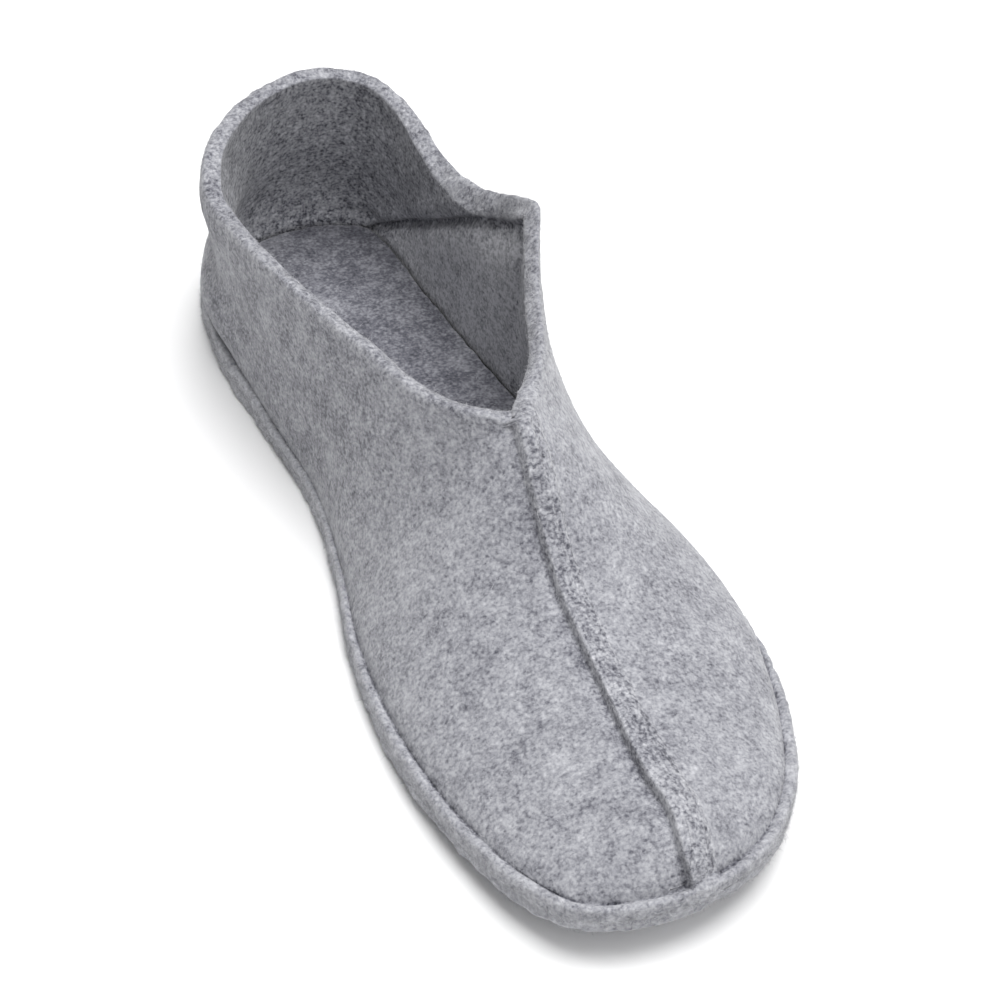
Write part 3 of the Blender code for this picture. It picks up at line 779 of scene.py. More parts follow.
    def lining_places(self, column, marks, line):
        """Where the rows of a lining column lie, closer together at the sharp crease."""
        end = marks[-1] if self.is_seam(column) else marks[-1] - LINING_ROUNDING
        foot_a, up_a, foot_b, up_b = CREASES[0][:4]
        level = np.interp(self.marks[column], (mark_of(foot_b), mark_of(foot_a)), (up_b, up_a))
        crease = np.interp(level, np.maximum.accumulate(line[:, 2]), marks)
        lowest = end * CREASE_LIMITS[0] - CREASE_ROWS[0]
        highest = end * CREASE_LIMITS[1] + CREASE_ROWS[0]
        rows = np.clip(crease, lowest, highest) + np.array(CREASE_ROWS)
        below = np.linspace(0, rows[0], LINING_ROWS)[:-1]
        above = np.linspace(rows[-1], end, LINING_ROWS)[1:]
        return np.concatenate([below, rows, above])[::-1]

    def outer_rows(self, column):
        """Outer rows of one column up to its top, with their zones: band, cut edge, and painted shade and
        painted light.
        """
        rim = self.rim_rows(column)
        line = self.profile(column)
        marks = lengths_along(line)
        wall = points_at(line, marks, self.wall_marks(column, line, marks))
        outer = np.vstack([rim, wall, line[-1:]])
        row = np.arange(len(outer))
        lift, band, dark = self.seam_lift(outer)
        fade = ease((row - SEAM_FADE_FROM) / SEAM_FADE_ROWS)
        low, high = len(rim) - SEAM_FILL_ROWS[0], len(rim) + SEAM_FILL_ROWS[1]
        filled = outer[low] + (outer[high] - outer[low]) * np.linspace(0, 1, high - low + 1)[:, None]
        outer[low:high + 1] += (filled - outer[low:high + 1]) * ease(band[low:high + 1].mean())
        outer += lift * fade[:, None]
        # Painted shade line along the groove above the rim, broken up, fainter where the rim sinks in and on
        # the inner side
        broken = 1 + soft_noise(outer, *GROOVE_BREAKS) - GROOVE_SUNK * sunk_share(outer)
        broken = np.clip(broken, *GROOVE_LIMITS) * (1 - INNER_GROOVE_FADE * self.inner_shade_and_light[column])
        passed = lengths_along(outer)
        groove = bump(passed - passed[len(rim) - 1], GROOVE_LINE) * (1 - band) * broken
        # Painted shade on the inner side's wall, fading in above the rim, and painted light on its rim
        inner_shade_and_light = INNER_WALL_PAINTED_SHADE * (1 + soft_noise(outer, *INNER_SHADE_PATCHES)) * ease((row - len(rim)) / INNER_SHADE_ROWS)
        inner_shade_and_light += INNER_EDGE_PAINTED_LIGHT * ease((len(rim) - row) / EDGE_FADE_ROWS)
        shade = groove + dark * fade + inner_shade_and_light * self.inner_shade_and_light[column]
        edge = ease((len(rim) - 1 - row) / EDGE_FADE_ROWS)
        return outer, np.column_stack([band * fade, edge, shade])

    def column_rows(self, column):
        """All rows of one column: outside with its zones, cut edge, and lining with its painted shade and
        painted light.
        """
        outer, zones = self.outer_rows(column)
        lining = self.profile(column, lining=True)
        lining_marks = lengths_along(lining)
        inside = points_at(lining, lining_marks, self.lining_places(column, lining_marks, lining))
        edge = np.zeros((0, 3))
        if self.seam_sections <= column <= self.seam_sections + self.collar_sections:
            offset = self.marks[column] - mark_of(LIP_FOOT)
            crown = EDGE_CROWN + LIP_CROWN * bump(offset, LIP_HALF_LENGTH)
            edge = self.edge_rows(outer[-2], outer[-1], inside[0], lining[-1], crown)
        insole_top = self.lining_feet[column, 2] + INSOLE_THICKNESS
        fold = crease_lines(self.marks[column], inside[:, 2], insole_top)
        # Painted light on the lining's panel below the sharp fold
        fold -= PANEL_PALE * panel_share(self.marks[column], inside[:, 2])
        return outer[:-1], zones[:-1], edge, inside, fold

    def edge_rows(self, outer_base, outer_top, lining_base, lining_top, crown):
        """Rounded cut edge of the collar between the outside and the lining."""
        turn = np.linspace(0, np.pi, EDGE_ROWS + 2)[1:-1]
        share = (1 - signed_power(np.cos(turn), EDGE_CURVES[0])) / 2
        rise = np.sin(turn) ** EDGE_CURVES[1]
        base = outer_base + (lining_base - outer_base) * share[:, None]
        lift = (outer_top - outer_base) * (1 - share)[:, None] + (lining_top - lining_base) * share[:, None]
        length = np.maximum(np.linalg.norm(lift, axis=1), EDGE_ROUNDING)
        return base + lift * (rise + crown * np.sin(turn) / length)[:, None]


def lattice_value(cells, seed):
    """A repeatable value from 0 to 1 for each whole-number cell."""
    big = cells.astype(np.int64)
    mixed = big[:, 0] * 73856093 ^ big[:, 1] * 19349663 ^ big[:, 2] * 83492791 ^ (seed * 2654435761 % 2**31)
    mixed = (mixed * 6364136223846793005 + 1442695040888963407) & 0x7FFFFFFFFFFFFFFF
    mixed = (mixed ^ (mixed >> 29)) * 2862933555777941757 & 0x7FFFFFFFFFFFFFFF
    return ((mixed >> 20) & 0xFFFFF) / float(0xFFFFF)


def soft_noise(points, height, size, seed):
    """Smooth noise from -height to height with cells of this size."""
    place = points / size
    cell = np.floor(place)
    share = place - cell
    share = share * share * (3 - 2 * share)
    value = np.zeros(len(points))
    for corner in np.ndindex(2, 2, 2):
        corner = np.array(corner)
        weight = np.prod(np.where(corner == 1, share, 1 - share), axis=1)
        value += weight * lattice_value(cell + corner, seed)
    return height * (2 * value - 1)


def vertex_normals(points, quads):
    """Unit normals of a quad mesh's points."""
    corners = points[quads]
    normal = np.cross(corners[:, 2] - corners[:, 0], corners[:, 3] - corners[:, 1])
    normals = np.zeros_like(points)
    for corner in range(4):
        np.add.at(normals, quads[:, corner], normal)
    return normals / np.maximum(np.linalg.norm(normals, axis=1), 1e-9)[:, None]


def felt_dents(points, normals, edge, amount=1.0):
    """Soft unevenness of thick felt, rougher on its cut edges, moved along the normals."""
    height = sum(soft_noise(points, *layer) for layer in FACE_DENTS)
    height = height + edge * sum(soft_noise(points, *layer) for layer in EDGE_DENTS)
    moved = points + normals * (amount * height)[:, None]
    moved[:, 2] = np.maximum(moved[:, 2], 0.0)
    return moved


def to_world(points):
    """The shoe's millimetres as metres of the frame."""
    points = np.asarray(points, float)
    return np.column_stack([points[:, 1] - SHOE_MIDDLE, LENGTH / 2 - points[:, 0], points[:, 2]]) * MM


def new_object(name, points, faces, material, zones=None, smooth=True):
    """A mesh object from world points and faces, with named zone values on its points."""
    mesh = bpy.data.meshes.new(name)
    corners = [tuple(dict.fromkeys(face)) for face in np.asarray(faces).tolist()]
    mesh.from_pydata(points.tolist(), [], corners)
    for zone, values in (zones or {}).items():
        attribute = mesh.attributes.new(zone, "FLOAT", "POINT")
        attribute.data.foreach_set("value", np.asarray(values, np.float32))
    mesh.materials.append(material)
    if smooth:
        mesh.shade_smooth()
    piece = bpy.data.objects.new(name, mesh)
    bpy.context.scene.collection.objects.link(piece)
    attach(piece, "root")
    return piece


def build_upper(upper):
    """Points, quads and zones of the felt upper."""
    count = len(upper.marks)
    seam, collar = upper.seam_sections, upper.collar_sections
    points, zones = [], []
    outer_ids, edge_ids, lining_ids = [], [], []
    kept = {}

    def add(rows, band=0.0, edge=0.0, groove=0.0, inside=0.0):
        first = sum(len(part) for part in points)
        points.append(rows)
        values = (band, edge, groove, inside)
        zones.append(np.column_stack([np.broadcast_to(value, len(rows)) for value in values]))
        return list(range(first, first + len(rows)))

    for column in range(count):
        outer, outer_zones, edge, inside, fold = upper.column_rows(column)
        shared = kept.get(count - column) if column >= seam + collar else None
        own = len(outer) if shared is None else len(outer) - 1
        ids = add(outer[:own], *outer_zones[:own].T)
        if shared is None:
            bulge = np.sin(np.linspace(0, np.pi, len(edge) + 2)[1:-1])
            # The collar's cut edge is darkened, most along its rounded middle
            edge_ids.append(add(edge, edge=bulge, groove=COLLAR_EDGE_DARKENING * bulge))
            inside_ids = add(inside, inside=1.0, groove=fold)
            kept[column] = (ids[-1], inside_ids[0], edge_ids[-1])
        else:
            ids.append(shared[0])
            edge_ids.append(shared[2])
            inside_ids = [shared[1], *add(inside[1:], inside=1.0, groove=fold[1:])]
        outer_ids.append(ids)
        lining_ids.append(inside_ids)

    quads = []
    for column in range(count):
        following = (column + 1) % count
        strips = [(outer_ids[column], outer_ids[following]), (lining_ids[column], lining_ids[following])]
        strips.append(tuple([lining_ids[i][-1], outer_ids[i][0]] for i in (column, following)))
        if seam <= column < seam + collar:
            strips.append(tuple(
                [outer_ids[i][-1], *edge_ids[i], lining_ids[i][0]] for i in (column, following)))
        for here, ahead in strips:
            for row in range(len(here) - 1):
                quads.append((here[row], ahead[row], ahead[row + 1], here[row + 1]))
    zones = np.vstack(zones)
    names = ("band", "edge", "groove", "inside")
    return np.vstack(points), np.array(quads), {name: zones[:, i] for i, name in enumerate(names)}


def middle_at(line, along):
    """Across position halfway between the two sides of a closed outline at one station."""
    here, following = line, np.roll(line, -1, axis=0)
    crossing = (here[:, 0] - along) * (following[:, 0] - along) <= 0
    here, following = here[crossing], following[crossing]
    run = following[:, 0] - here[:, 0]
    share = (along - here[:, 0]) / np.where(run == 0, 1, run)
    across = here[:, 1] + share * (following[:, 1] - here[:, 1])
    return (across.min() + across.max()) / 2


def build_slab(line, low, high, rounding, rings, sharp=False):
    """A felt sheet inside a closed outline, in rings from its middle over the edge and back underneath.

    Its upper edge is rounded like the lower one, unless it is sharp.
    """
    closed = np.vstack([line, line[:1]])
    marks = lengths_along(closed, 2)
    total = marks[-1]
    heel = int(np.argmin(line[:, 0]))
    along = np.linspace(line[:, 0].min() + SLAB_FAN, line[:, 0].max() - SLAB_FAN, SLAB_STATIONS)
    outer = np.interp(-along[::-1], -np.minimum.accumulate(line[:heel + 1, 0]), marks[:heel + 1])
    inner = np.interp(along, np.maximum.accumulate(closed[heel:, 0]), marks[heel:])
    heel_fan = np.linspace(outer[-1], inner[0], SLAB_FAN_STATIONS + 2)[1:-1]
    toe_fan = np.mod(np.linspace(inner[-1], total + outer[0], SLAB_FAN_STATIONS + 2)[1:-1], total)
    spots = np.concatenate([outer, heel_fan, inner, toe_fan])
    order = np.arange(SLAB_STATIONS)
    heel_hub = np.zeros(SLAB_FAN_STATIONS, int)
    middle = np.concatenate([order[::-1], heel_hub, order, heel_hub + order[-1]])
    spine = np.column_stack([along, [middle_at(line, station) for station in along]])
    around = points_at(closed, marks, spots)
    outward = outward_at(spots, closed, marks, SLAB_STEP)
    hub = spine[middle]
    rim = around - outward * rounding
    flats = [(hub + (rim - hub) * share, high, 0.0) for share in np.linspace(0, 1, rings)[1:-1]]
    for turn in np.linspace(0, np.pi, SLAB_EDGE_ROWS):
        out = rounding if sharp and turn < np.pi / 2 else rounding * np.sin(turn) ** SLAB_CURVES[0]
        level = (high + low) / 2 + (high - low) / 2 * signed_power(np.cos(turn), SLAB_CURVES[1])
        flats.append((rim + outward * out, level, 1.0))
    under_shares = np.linspace(1, 0, rings // UNDERSIDE_THINNING)[1:-1]
    flats += [(hub + (rim - hub) * share, low, 0.0) for share in under_shares]
    rows = [np.column_stack([flat, level + spring(flat[:, 0])]) for flat, level, _ in flats]
    top, under = (np.column_stack([spine, level + spring(along)]) for level in (high, low))
    points = np.vstack([top, *rows, under])
    count = len(spots)
    ids = [middle]
    ids += [SLAB_STATIONS + ring * count + np.arange(count) for ring in range(len(rows))]
    ids.append(SLAB_STATIONS + len(rows) * count + middle)
    quads = []
    for here, ahead in zip(ids[:-1], ids[1:]):
        quads.append(np.column_stack([here, ahead, np.roll(ahead, -1), np.roll(here, -1)]))
    spine_edge = np.zeros(SLAB_STATIONS)
    edge = np.concatenate([spine_edge, *[np.full(count, flat[2]) for flat in flats], spine_edge])
    return points, np.vstack(quads), {"edge": edge}


def insole_edge(upper):
    """Outline of the insole, clear of the lining at every column."""
    low = SOLE_THICKNESS + GAP
    edge = []
    for column in range(0, len(upper.marks), INSOLE_EVERY):
        line = upper.profile(column, lining=True)
        level = low + INSOLE_THICKNESS + spring(line[0, 0])
        rising = np.maximum.accumulate(line[:, 2])
        near = [np.interp(level, rising, line[:, axis]) for axis in (0, 1)]
        outward = upper.outward[column]
        foot = line[0, :2]
        step = min(0.0, (near - foot) @ outward) - INSOLE_CLEARANCE
        edge.append(foot + outward * step)
    return np.array(edge)


class NodeKit:
    """Short calls for building a node tree."""

    def __init__(self, material):
        self.tree = material.node_tree
        self.shader = self.tree.nodes["Principled BSDF"]

    def add(self, kind, inputs=None, **settings):
        node = self.tree.nodes.new(kind)
        for name, value in settings.items():
            setattr(node, name, value)
        for name, value in (inputs or {}).items():
            self.put(node.inputs[name], value)
        return node

    def put(self, socket, value):
        if isinstance(value, bpy.types.NodeSocket):
            self.tree.links.new(value, socket)
        else:
            socket.default_value = value

    def math(self, operation, first, second=0.0, third=0.0):
        node = self.add("ShaderNodeMath", {0: first, 1: second, 2: third}, operation=operation)
        return node.outputs[0]

    def total(self, start, values, weights):
        """The start value plus each value, less its middle, times its weight."""
        tone = start
        for value, (middle, weight) in zip(values, weights):
            tone = self.math("MULTIPLY_ADD", self.math("SUBTRACT", value, middle), weight, tone)
        return tone

    def vector(self, operation, inputs):
        return self.add("ShaderNodeVectorMath", inputs, operation=operation).outputs[0]

    def colour(self, value, stops):
        """The shader's colour by the value, between stops of position and colour."""
        node = self.add("ShaderNodeValToRGB", {"Fac": value})
        elements = node.color_ramp.elements
        for place, colour in stops[1:-1]:
            elements.new(place).color = (*colour, 1.0)
        for element, (place, colour) in ((elements[0], stops[0]), (elements[-1], stops[-1])):
            element.position = place
            element.color = (*colour, 1.0)
        self.put(self.shader.inputs["Base Color"], node.outputs["Color"])

    def relief(self, height, distance, strength):
        inputs = {"Height": height, "Distance": distance, "Strength": strength}
        self.put(self.shader.inputs["Normal"], self.add("ShaderNodeBump", inputs).outputs["Normal"])

    def rise(self, value, low, high):
        """A soft rise from 0 to 1 as the value goes from low to high."""
        inputs = {"Value": value, "From Min": low, "From Max": high}
        node = self.add("ShaderNodeMapRange", inputs, interpolation_type="SMOOTHSTEP")
        return node.outputs["Result"]

    def noise(self, vector, scale, detail, roughness):
        inputs = {"Vector": vector, "Scale": scale, "Detail": detail, "Roughness": roughness}
        return self.add("ShaderNodeTexNoise", inputs).outputs

    def zone(self, name):
        return self.add("ShaderNodeAttribute", attribute_name=name).outputs["Fac"]

    def millimetres(self):
        place = self.add("ShaderNodeTexCoord").outputs["Object"]
        return self.vector("SCALE", {0: place, "Scale": 1 / MM})


def new_material(name, roughness, sheen=0.0, specular=0.3):
    material = bpy.data.materials.new(name)
    material.use_nodes = True
    kit = NodeKit(material)
    kit.shader.inputs["Roughness"].default_value = roughness
    kit.shader.inputs["Specular IOR Level"].default_value = specular
    kit.shader.inputs["Sheen Weight"].default_value = sheen
    kit.shader.inputs["Sheen Roughness"].default_value = SHEEN_ROUGHNESS
    return material, kit


def felt_material(name, brightness, contrast=1.0):
    """Mottled wool felt: grain, pale and dark fibres, soft clouds, and a fuzzy relief."""
    material, kit = new_material(name, roughness=0.96, sheen=0.25, specular=0.15)
    place = kit.millimetres()
    wander = kit.noise(place, *WANDER)["Color"]
    shift = kit.vector("SUBTRACT", {0: wander, 1: (0.5, 0.5, 0.5)})
    wavy = kit.vector("ADD", {0: place, 1: kit.vector("SCALE", {0: shift, "Scale": FIBRE_WANDER})})
    strands = []
    for turn in FIBRE_TURNS:
        inputs = {"Vector": wavy, "Rotation": turn, "Scale": FIBRE_STRETCH}
        turned = kit.add("ShaderNodeMapping", inputs).outputs[0]
        strands.append(kit.noise(turned, *STRAND)["Fac"])
    highest = kit.math("MAXIMUM", kit.math("MAXIMUM", strands[0], strands[1]), strands[2])
    lowest = kit.math("MINIMUM", kit.math("MINIMUM", strands[0], strands[1]), strands[2])
    grain = kit.noise(place, *GRAIN)["Fac"]
    speck = kit.noise(wavy, *SPECK)["Fac"]
    parts = (grain, speck, kit.rise(highest, *PALE_STRANDS), kit.rise(lowest, *DARK_STRANDS))
    zones = {zone: kit.zone(zone) for zone in ZONE_TONES}
    lively = contrast
    for zone, weight in ZONE_CONTRASTS.items():
        lively = kit.math("MULTIPLY_ADD", kit.math("MAXIMUM", zones[zone], 0.0), weight, lively)
    tone = kit.math("MULTIPLY_ADD", kit.total(0.0, parts, FIBRE_TONES), lively, brightness)
    mottle = kit.noise(place, *MOTTLE)["Fac"]
    cloud = kit.noise(place, *CLOUD)["Fac"]
    blotchy = kit.math("MULTIPLY_ADD", zones["inside"], MOTTLE_INSIDE, MOTTLE_TONE)
    tone = kit.total(tone, (mottle, cloud), ((0.5, blotchy), (0.5, CLOUD_TONE)))
    # Zone tones: the lining's lift is painted light, and the groove zone adds painted shade and painted
    # light
    tone = kit.total(tone, zones.values(), [(0.0, weight) for weight in ZONE_TONES.values()])
    kit.colour(tone, FELT_STOPS)
    kit.relief(kit.total(0.0, parts, FIBRE_HEIGHTS), *FELT_RELIEF)
    return material


def hair_material(name):
    """Loose wool hairs, from dark grey to near white."""
    material, kit = new_material(name, roughness=0.9, sheen=0.2, specular=0.1)
    kit.colour(kit.zone("tone"), HAIR_STOPS)
    return material


def leather_material(name):
    """Dark grey leather with a fine pebbled grain and paler cut edges."""
    material, kit = new_material(name, roughness=0.6)
    place = kit.millimetres()
    pebble = kit.noise(place, *PEBBLE)["Fac"]
    cloud = kit.noise(place, *LEATHER_CLOUD)["Fac"]
    kit.colour(kit.total(LEATHER_TONE, (pebble, cloud, kit.zone("edge")), LEATHER_TONES), LEATHER_STOPS)
    kit.relief(pebble, *LEATHER_RELIEF)
    return material


def thread_material(name):
    """Grey sewing thread, shaded by its twist."""
    material, kit = new_material(name, roughness=0.8, sheen=0.2, specular=0.2)
    kit.colour(kit.noise(kit.millimetres(), *TWIST)["Fac"], THREAD_STOPS)
    return material


def plain_material(name, colour, roughness):
    """One even colour."""
    material, kit = new_material(name, roughness)
    kit.shader.inputs["Base Color"].default_value = (*colour, 1.0)
    return material


def scatter(points, quads, weights, count, rng):
    """Random places on a quad mesh, with their normals."""
    corners = points[quads]
    triangles = np.concatenate([corners[:, [0, 1, 2]], corners[:, [0, 2, 3]]])
    owner = np.tile(np.arange(len(quads)), 2)
    normal = np.cross(triangles[:, 1] - triangles[:, 0], triangles[:, 2] - triangles[:, 0])
    area = np.linalg.norm(normal, axis=1)
    chance = area * weights[owner]
    chosen = rng.choice(len(triangles), count, p=chance / chance.sum())
    first, second = rng.random((2, count))
    outside = first + second > 1
    first = np.where(outside, 1 - first, first)[:, None]
    second = np.where(outside, 1 - second, second)[:, None]
    base = triangles[chosen]
    place = base[:, 0] + first * (base[:, 1] - base[:, 0]) + second * (base[:, 2] - base[:, 0])
    return place, normal[chosen] / area[chosen, None]


def across_directions(wild, axis):
    """The wild directions laid square to the axis, as unit steps."""
    flat = wild - (wild * axis).sum(1)[:, None] * axis
    return flat / np.linalg.norm(flat, axis=1)[:, None]


def add_hairs(name, points, quads, weights, material):
    """Loose hairs on a felt mesh, each a thin tapered ribbon with one bend."""
    full_count, length, lift, seed = HAIRS[name]
    count = int(full_count * (1.0))
    rng = np.random.default_rng(seed)
    place, normal = scatter(points, quads, weights, count, rng)
    flat = across_directions(rng.normal(size=(count, 3)), normal)
    turned = across_directions(flat + HAIR_BEND * rng.normal(size=(count, 3)), normal)
    rise = np.radians(lift) * rng.random(count) ** HAIR_RISE
    fall = rise * rng.uniform(*HAIR_FALL, count)
    run = length * rng.lognormal(0.0, HAIR_SPREAD, count)[:, None] / 2
    first = flat * np.cos(rise)[:, None] + normal * np.sin(rise)[:, None]
    second = turned * np.cos(fall)[:, None] + normal * np.sin(fall)[:, None]
    half = across_directions(rng.normal(size=(count, 3)), first)
    half *= rng.uniform(*HAIR_THINNING, (count, 1)) * HAIR_WIDTH / 2
    base = place - normal * HAIR_ROOT
    bend = base + first * run
    tip = bend + second * run
    corners = np.stack([base - half, base + half, bend + half, bend - half, tip], axis=1).reshape(-1, 3)
    corners[:, 2] = np.maximum(corners[:, 2], HAIR_LOWEST)
    start = 5 * np.arange(count)[:, None]
    faces = np.vstack([start + [0, 1, 2, 3], start + [3, 2, 4, 4]])
    tone = np.repeat(np.clip(rng.normal(*HAIR_TONES, count), 0, 1), 5)
    piece = new_object(name, to_world(corners), faces, material, {"tone": tone}, smooth=False)


def felt_piece(name, node, points, quads, zones, material, dents=1.0):
    """A felt mesh that stands for a CAD node, with the soft unevenness of felt."""
    points = felt_dents(points, vertex_normals(points, quads), zones["edge"], dents)
    piece = new_object(name, to_world(points), quads, material, zones)
    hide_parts(node)
    return points


def outer_face(upper, along, up):
    """Across positions of the wall's outside on the outer side, at stations and heights."""
    columns = range(upper.seam_sections, upper.seam_sections + upper.collar_sections // 2, 2)
    lines = np.array([upper.profile(column) for column in columns])
    across = []
    for station, height in zip(along, up):
        found = []
        for line in lines:
            rising = np.maximum.accumulate(line[:, 2])
            found.append([np.interp(height, rising, line[:, axis]) for axis in (0, 1)])
        found = np.array(sorted(found))
        across.append(np.interp(station, found[:, 0], found[:, 1]))
    return np.array(across)


def loop_surface(upper):
    """A function from share of the strip's length, side and height to places on the pull loop."""
    top, foot = np.array(LOOP_TOP), np.array(LOOP_FOOT)
    run = (foot - top) / np.linalg.norm(foot - top)
    sideways = np.array([-run[1], run[0]]) * LOOP_WIDTH / 2
    shares = np.linspace(0, 1, LOOP_SECTIONS)
    sides = (-1.0, 0.0, 1.0)
    faces = []
    for side in sides:
        spots = top + shares[:, None] * (foot - top) + side * sideways
        faces.append(outer_face(upper, spots[:, 0], spots[:, 1]))

    def place(share, side, lift):
        flat = top + (foot - top) * share + side * sideways
        face = np.interp(side, sides, [np.interp(share, shares, line) for line in faces])
        bow = LOOP_BOW * np.sin(np.pi * share**LOOP_BOW_SKEW) ** 2
        return flat[0], face + LOOP_SEAT + bow + lift, flat[1]

    return place


def tube_quads(first, rings, count):
    """Quads of a tube of rings with this many points each, from its first point on."""
    quads = []
    for ring in range(rings - 1):
        here, ahead = first + ring * count, first + (ring + 1) * count
        for corner in range(count):
            following = (corner + 1) % count
            quads.append((here + corner, ahead + corner, ahead + following, here + following))
    return quads


def build_loop(place):
    """The pull loop: a leather strip with cut edges, standing off the wall between its sewn ends."""
    flat = np.linspace(-1, 1, LOOP_STRIPS + 1)
    lifts = np.linspace(0, LOOP_THICKNESS, LOOP_EDGE_ROWS + 1)
    ring = [(side, 0.0) for side in flat]
    ring += [(1.0, lift) for lift in lifts[1:-1]]
    ring += [(side, LOOP_THICKNESS) for side in flat[::-1]]
    ring += [(-1.0, lift) for lift in lifts[-2:0:-1]]
    rows, edge = [], []
    for share in np.linspace(0, 1, LOOP_SECTIONS):
        for side, lift in ring:
            rows.append(place(share, side, lift))
            edge.append(1.0 if abs(side) == 1 or share in (0, 1) else 0.0)
    count = len(ring)
    quads = tube_quads(0, LOOP_SECTIONS, count)
    upper_first = LOOP_STRIPS + LOOP_EDGE_ROWS
    upper_last = upper_first + LOOP_STRIPS
    strips = [(i, i + 1, upper_last - i - 1, upper_last - i) for i in range(LOOP_STRIPS)]
    sides = []
    for corner, last in ((LOOP_STRIPS, upper_first), (upper_last, count)):
        for i in range(corner + 1, last):
            sides.append((corner, i, (i + 1) % count, (i + 1) % count))
    far = (LOOP_SECTIONS - 1) * count
    for cap in strips + sides:
        quads.append(cap)
        quads.append(tuple(far + i for i in cap[::-1]))
    return np.array(rows), np.array(quads), {"edge": np.array(edge)}


def build_stitches(place):
    """Rows of short threads across the loop's two sewn ends."""
    length = np.hypot(LOOP_FOOT[0] - LOOP_TOP[0], LOOP_FOOT[1] - LOOP_TOP[1])
    steps = np.linspace(-1, 1, THREAD_RINGS)
    turns = np.linspace(0, 2 * np.pi, THREAD_SIDES, endpoint=False)
    rows, quads = [], []
    for share in (THREAD_INSET / length, 1 - THREAD_INSET / length):
        for middle in np.linspace(-THREAD_SPREAD, THREAD_SPREAD, THREADS):
            first = len(rows)
            for step in steps:
                radius = THREAD_WIDTH / 2 * np.sqrt(1 - THREAD_TAPER * step**2)
                for turn in turns:
                    lift = LOOP_THICKNESS + radius * np.sin(turn)
                    side = middle + step * THREAD_LENGTH / LOOP_WIDTH
                    rows.append(place(share + radius * np.cos(turn) / length, side, lift))
            quads += tube_quads(first, THREAD_RINGS, THREAD_SIDES)
            last = first + (THREAD_RINGS - 1) * THREAD_SIDES
            for a, b, c, d in ((0, 1, 2, 3), (0, 3, 4, 5)):
                quads.append((first + a, first + b, first + c, first + d))
                quads.append((last + d, last + c, last + b, last + a))
    return np.array(rows), np.array(quads)


def set_light(name, place, aim, size, power):
    """A soft square lamp."""
    lamp = bpy.data.lights.new(name, "AREA")
    lamp.size = size
    lamp.energy = power
    piece = bpy.data.objects.new(name, lamp)
    piece.location = place
    piece.rotation_euler = (Vector(aim) - Vector(place)).to_track_quat("-Z", "Y").to_euler()
    bpy.context.scene.collection.objects.link(piece)


def set_stage():
    """Pale floor, soft light all round and soft lamps."""
    floor = plain_material("floor", FLOOR_COLOUR, FLOOR_ROUGHNESS)
    mesh = bpy.data.meshes.new("floor")
    half = FLOOR_SIZE / 2
    corners = [(x * half, y * half, FLOOR_LEVEL) for x, y in ((-1, -1), (1, -1), (1, 1), (-1, 1))]
    mesh.from_pydata(corners, [], [(0, 1, 2, 3)])
    mesh.materials.append(floor)
    piece = bpy.data.objects.new("floor", mesh)
    bpy.context.scene.collection.objects.link(piece)
    piece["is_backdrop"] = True
    world = bpy.data.worlds.new("studio")
    world.use_nodes = True
    world.node_tree.nodes["Background"].inputs["Color"].default_value = (1.0, 1.0, 1.0, 1.0)
    world.node_tree.nodes["Background"].inputs["Strength"].default_value = WORLD_STRENGTH
    bpy.context.scene.world = world
    for lamp in LAMPS:
        set_light(*lamp)


def set_camera():
    """The photo's viewpoint, turned from the photo's middle to the shoe and zoomed in on it."""
    forward = (PHOTO_MIDDLE - VIEWPOINT).normalized()
    right = forward.cross(Vector((0, 0, 1))).normalized()
    up = right.cross(forward)
    aim = forward * PHOTO_LENS / SENSOR + right * SHOE_IN_PHOTO[0] + up * SHOE_IN_PHOTO[1]
    turn = forward.rotation_difference(aim).to_matrix()
    axes = turn @ Matrix((right, up, -forward)).transposed()
    lens = bpy.data.cameras.new("camera")
    lens.sensor_width = SENSOR
    lens.lens = PHOTO_LENS * ZOOM
    camera = bpy.data.objects.new("camera", lens)
    camera.matrix_world = Matrix.Translation(VIEWPOINT) @ axes.to_4x4()
    bpy.context.scene.collection.objects.link(camera)
    bpy.context.scene.camera = camera


rough_felt = felt_material("upper_felt_look", FELT_BRIGHTNESS)
sole_felt = felt_material("sole_felt_look", FELT_BRIGHTNESS)
floor_felt = felt_material("insole_felt_look", INSOLE_BRIGHTNESS, INSOLE_CONTRAST)
leather = leather_material("loop_leather_look")
wool_hair = hair_material("wool_hair_look")

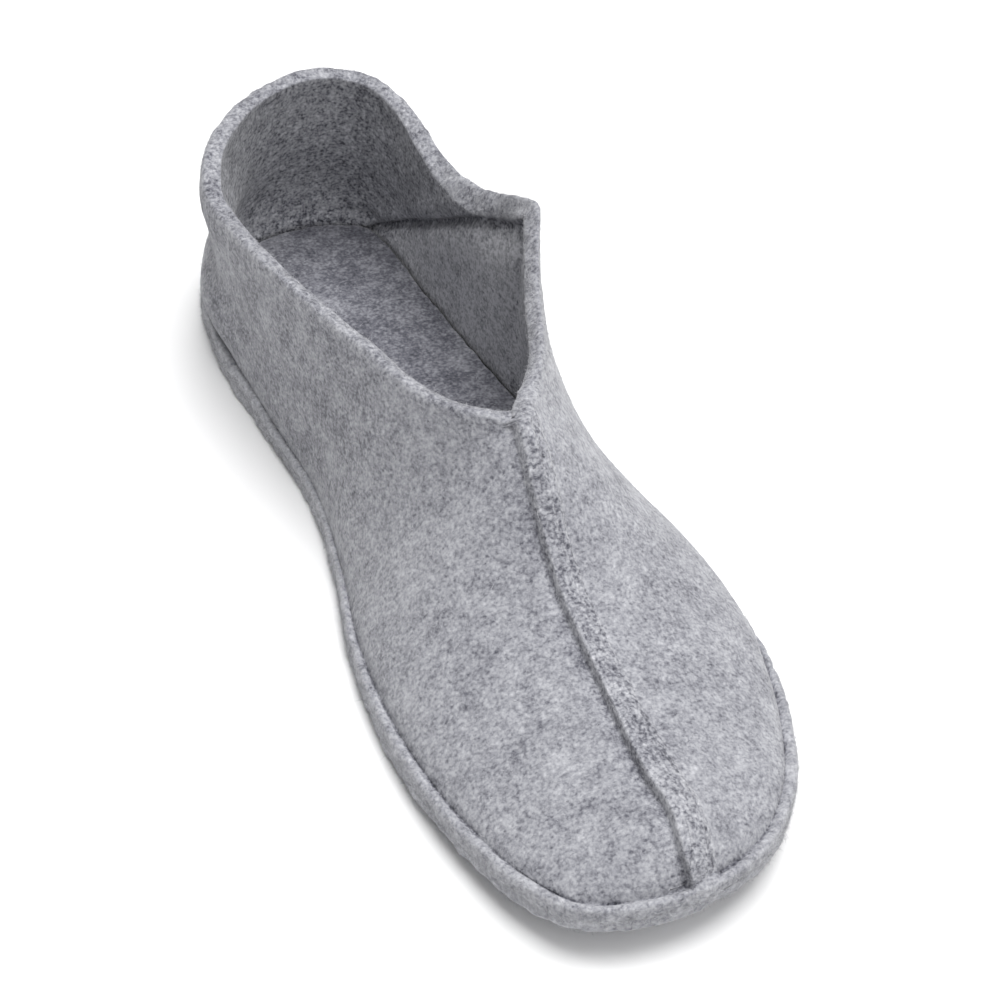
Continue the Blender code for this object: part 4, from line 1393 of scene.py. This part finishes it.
upper = Upper(SEAM_SECTIONS, COLLAR_SECTIONS)
points, quads, zones = build_upper(upper)
points = felt_piece("felt_upper", "upper", points, quads, zones, rough_felt)
quad_edge = zones["edge"][quads].mean(1)
lined = zones["inside"][quads].mean(1) > 0.5
outside = np.where(lined, 0.0, 1 + EDGE_HAIR_SHARE * quad_edge)
add_hairs("upper_hairs", points, quads, outside, wool_hair)
add_hairs("edge_hairs", points, quads, quad_edge, wool_hair)
add_hairs("lining_hairs", points, quads, lined.astype(float), wool_hair)

points, quads, zones = build_slab(OUTLINE[:-1], 0.0, SOLE_THICKNESS, SOLE_ROUNDING, SOLE_RINGS, sharp=True)
dents = SOLE_FLAT_DENTS + (1 - SOLE_FLAT_DENTS) * zones["edge"]
# Painted light on the sole's edge along the inner side
zones["groove"] = INNER_EDGE_PAINTED_LIGHT * inner_shade_and_light_share(points) * zones["edge"]
points = felt_piece("felt_sole", "sole", points, quads, zones, sole_felt, dents)
level = points[:, 2] - spring(points[:, 0])
edge = np.where(level[quads].min(1) > HAIR_ROOT, FLAT_HAIR_SHARE + zones["edge"][quads].mean(1), 0.0)
add_hairs("sole_hairs", points, quads, edge, wool_hair)

low = SOLE_THICKNESS + GAP
high = low + INSOLE_THICKNESS
points, quads, zones = build_slab(insole_edge(upper), low, high, INSOLE_ROUNDING, INSOLE_RINGS)
points = felt_piece("felt_insole", "insole", points, quads, zones, floor_felt, INSOLE_DENTS)
add_hairs("insole_hairs", points, quads, np.ones(len(quads)), wool_hair)

loop_place = loop_surface(upper)
points, quads, zones = build_loop(loop_place)
loop = new_object("leather_loop", to_world(points), quads, leather, zones)
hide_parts("pull_loop")
points, quads = build_stitches(loop_place)
stitches = new_object("loop_stitches", to_world(points), quads, thread_material("loop_thread_look"))

set_stage()
set_camera()
bpy.context.scene.view_settings.view_transform = "Standard"

VISUAL_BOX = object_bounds()
sizes = {"cad": CAD_BOX, "visual": VISUAL_BOX}
{name: [[float(n) for n in corner] for corner in box] for name, box in sizes.items()}
